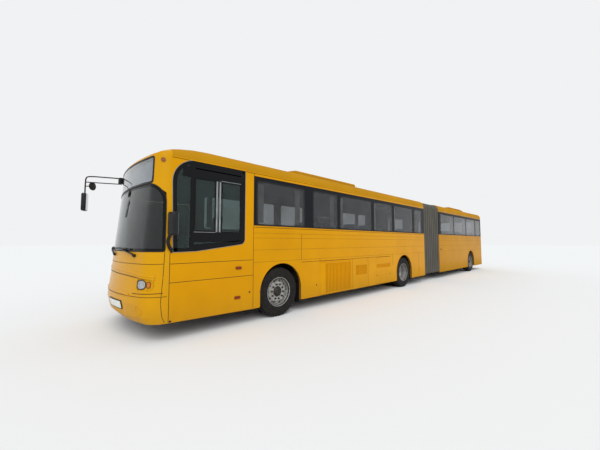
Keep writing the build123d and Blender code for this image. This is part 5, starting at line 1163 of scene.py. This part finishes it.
def seat_parts(foot_x, middle_y):
    """One seat: a flat pad for the seat, and one stood up and leaned back for the backrest."""
    lean = math.atan2(BACK_LEAN, BACK_H)
    cushion = pad((foot_x + CUSHION_L / 2 + 0.01, middle_y, SEAT_BASE + CUSHION_H / 2 + 0.01),
                  (CUSHION_L - 0.02, SEAT_W - 0.03, CUSHION_H - 0.02), 0.035, 0.016, (-0.10, 0.08))
    height = BACK_H + 0.04
    back = pad((0, 0, 0), (height, SEAT_W - 0.035, BACK_T - 0.018), 0.026, 0.010, (-0.16, 0.0, 0.16))
    parts = []
    for points, faces in back:
        x = foot_x + 0.036 - BACK_LEAN / 2 + points[:, 2] * math.cos(lean) - points[:, 0] * math.sin(lean)
        z = SEAT_BASE + CUSHION_H / 2 + BACK_H / 2 + 0.01
        z = z + points[:, 0] * math.cos(lean) + points[:, 2] * math.sin(lean)
        parts.append((np.stack([x, middle_y + points[:, 1], z], -1), faces))
    return cushion + parts


def seat_group(section, rows_left, rows_right):
    """Pads of every seat of one section, and the legs and rails that carry them."""
    pads, steel = [], []
    for side, rows in ((1, rows_left), (-1, rows_right)):
        for foot_x in rows:
            for middle in (side * PAIR_Y - PAIR_HALF, side * PAIR_Y + PAIR_HALF):
                pads.extend(seat_parts(foot_x, middle))
                for leg, head in ((0.10, 0.12), (0.32, 0.30)):
                    path = [(leg, middle, LEG_FOOT), (leg, middle, 1.20), (head, middle, 1.345)]
                    steel.append(bar(bent(path) + (foot_x, 0, 0), 0.016, 8))
            for rail_x in (foot_x + 0.09, foot_x + 0.34):
                ends = [(rail_x, side * PAIR_Y + reach, 1.338) for reach in (-0.43, 0.43)]
                steel.append(bar(np.linspace(*ends, 3), 0.014, 8))
    body, node = section + "_section", section + "_seats"
    made = piece(node + "_pads", pads, [seat_cloth], body, (node,), 60)
    piece(node + "_frames", steel, [post_steel], body)


seat_group("front", (4.900, 4.140, 3.380, 2.620, 1.860, -0.450), (4.900, 4.140, 3.380, -0.450))
seat_group("rear", (-3.300, -4.060, -4.820, -5.580, -8.300), (-3.300, -4.060, -8.300))

driver_pads = [(points + (0.012, 0, 0), faces) for points, faces in seat_parts(7.250, 0.580)]
driver = piece("driver_seat_pads", driver_pads, [seat_cloth], "front_section",
               ("driver_seat",), 60)
column = [(LEG_FOOT, 0.0), (LEG_FOOT, 0.150), (1.015, 0.150), (1.020, 0.075), (1.300, 0.060), (1.352, 0.100),
          (1.352, 0.0)]
angle = np.linspace(0, 2 * np.pi, 33)[:, None]
height, radius = np.array(column).T
pedestal = np.stack([7.470 + radius * np.cos(angle), 0.580 + radius * np.sin(angle), height + 0 * angle], -1)
faces = rows_of_faces(33, len(column))[0]
pedestal = (pedestal.reshape(-1, 3), faces)
piece("driver_seat_pedestal", [pedestal], [black_plastic], "front_section")

# %% [markdown]
# Some side panes have a drawn-back curtain behind them: a strip of thin cloth that hangs from a rail in soft
# folds. Each is one sheet whose depth is a sine along its width, fuller at the hem. A cloth simulation would
# give folds like these behind dark glass, and take minutes.
# %% Curtains
CURTAIN_TOP, CURTAIN_H, CURTAIN_W, CURTAIN_Y, CURTAIN_FOLDS = 2.745, 0.80, 0.16, 1.185, 4
FRONT_CURTAINS = ((6.56, 1), (5.54, 1), (4.32, 1), (3.94, 1), (2.31, 1), (1.08, 1), (6.56, -1), (4.32, -1),
                  (2.74, -1), (1.08, -1))
REAR_CURTAINS = ((-2.99, 1), (-4.36, 1), (-6.15, 1), (-7.74, 1), (-2.99, -1), (-7.74, -1))


def curtain(name, middle_x, side, body):
    """Sheet of hung cloth: its distance from the pane is a sine of the width, its amplitude grows downwards."""
    u, v = np.meshgrid(np.linspace(0, 1, 64), np.linspace(0, 1, 24), indexing="ij")
    depth = (0.010 + 0.006 * v) * np.sin(2 * np.pi * CURTAIN_FOLDS * u)
    x = middle_x + (u - 0.5) * CURTAIN_W * (1 - 0.12 * np.sin(np.pi * v))
    grid = np.stack([x, side * (CURTAIN_Y + depth), CURTAIN_TOP - CURTAIN_H * v], -1)
    other = grid + (0, side * 0.0012, 0)
    made = piece(name, [sheet(grid, other)], [curtain_cloth], body, (), 80)


for section, places in (("front", FRONT_CURTAINS), ("rear", REAR_CURTAINS)):
    for number, (middle_x, side) in enumerate(places, 1):
        curtain(f"{section}_curtain_{number}", middle_x, side, section + "_section")

# %% [markdown]
# Last comes the number plate on the bumper: a pressed aluminium sheet in a dark plastic frame, left blank. It
# is bent to the nose, as the photographed one is.
# %% Plates
PLATE_ALONG, PLATE_Z = 0.34, 0.550


def nose_pad(lateral, height, width, tall, radius, out, deep):
    """A plate that follows the nose: a grid between rounded edges, with a back face."""
    heights = (height + tall * (0.5 - 0.5 * np.cos(np.linspace(0, np.pi, 10)) - 0.5))[:, None]
    rise = np.clip(np.abs(heights - height) - (tall / 2 - radius), 0, radius)
    edge = width / 2 - (radius - np.sqrt(radius**2 - rise**2))
    along = lateral + edge * np.linspace(-1, 1, 40)[None]
    return sheet(nose_point(along, heights, out), nose_point(along, heights, out - deep))


plate_white = finish("blank_embossed_plate", "#D9D9D2", "#E6E6E0", 45, 0.38, bump_mm=0.2, bump_size_mm=8)
plates = [(*nose_pad(PLATE_ALONG, PLATE_Z, 0.540, 0.140, 0.014, 0.012, 0.010), 1),
          nose_pad(PLATE_ALONG, PLATE_Z, 0.500, 0.110, 0.010, 0.015, 0.004)]
piece("front_plate", plates, [plate_white, black_plastic], "front_section")
print("plates ready")
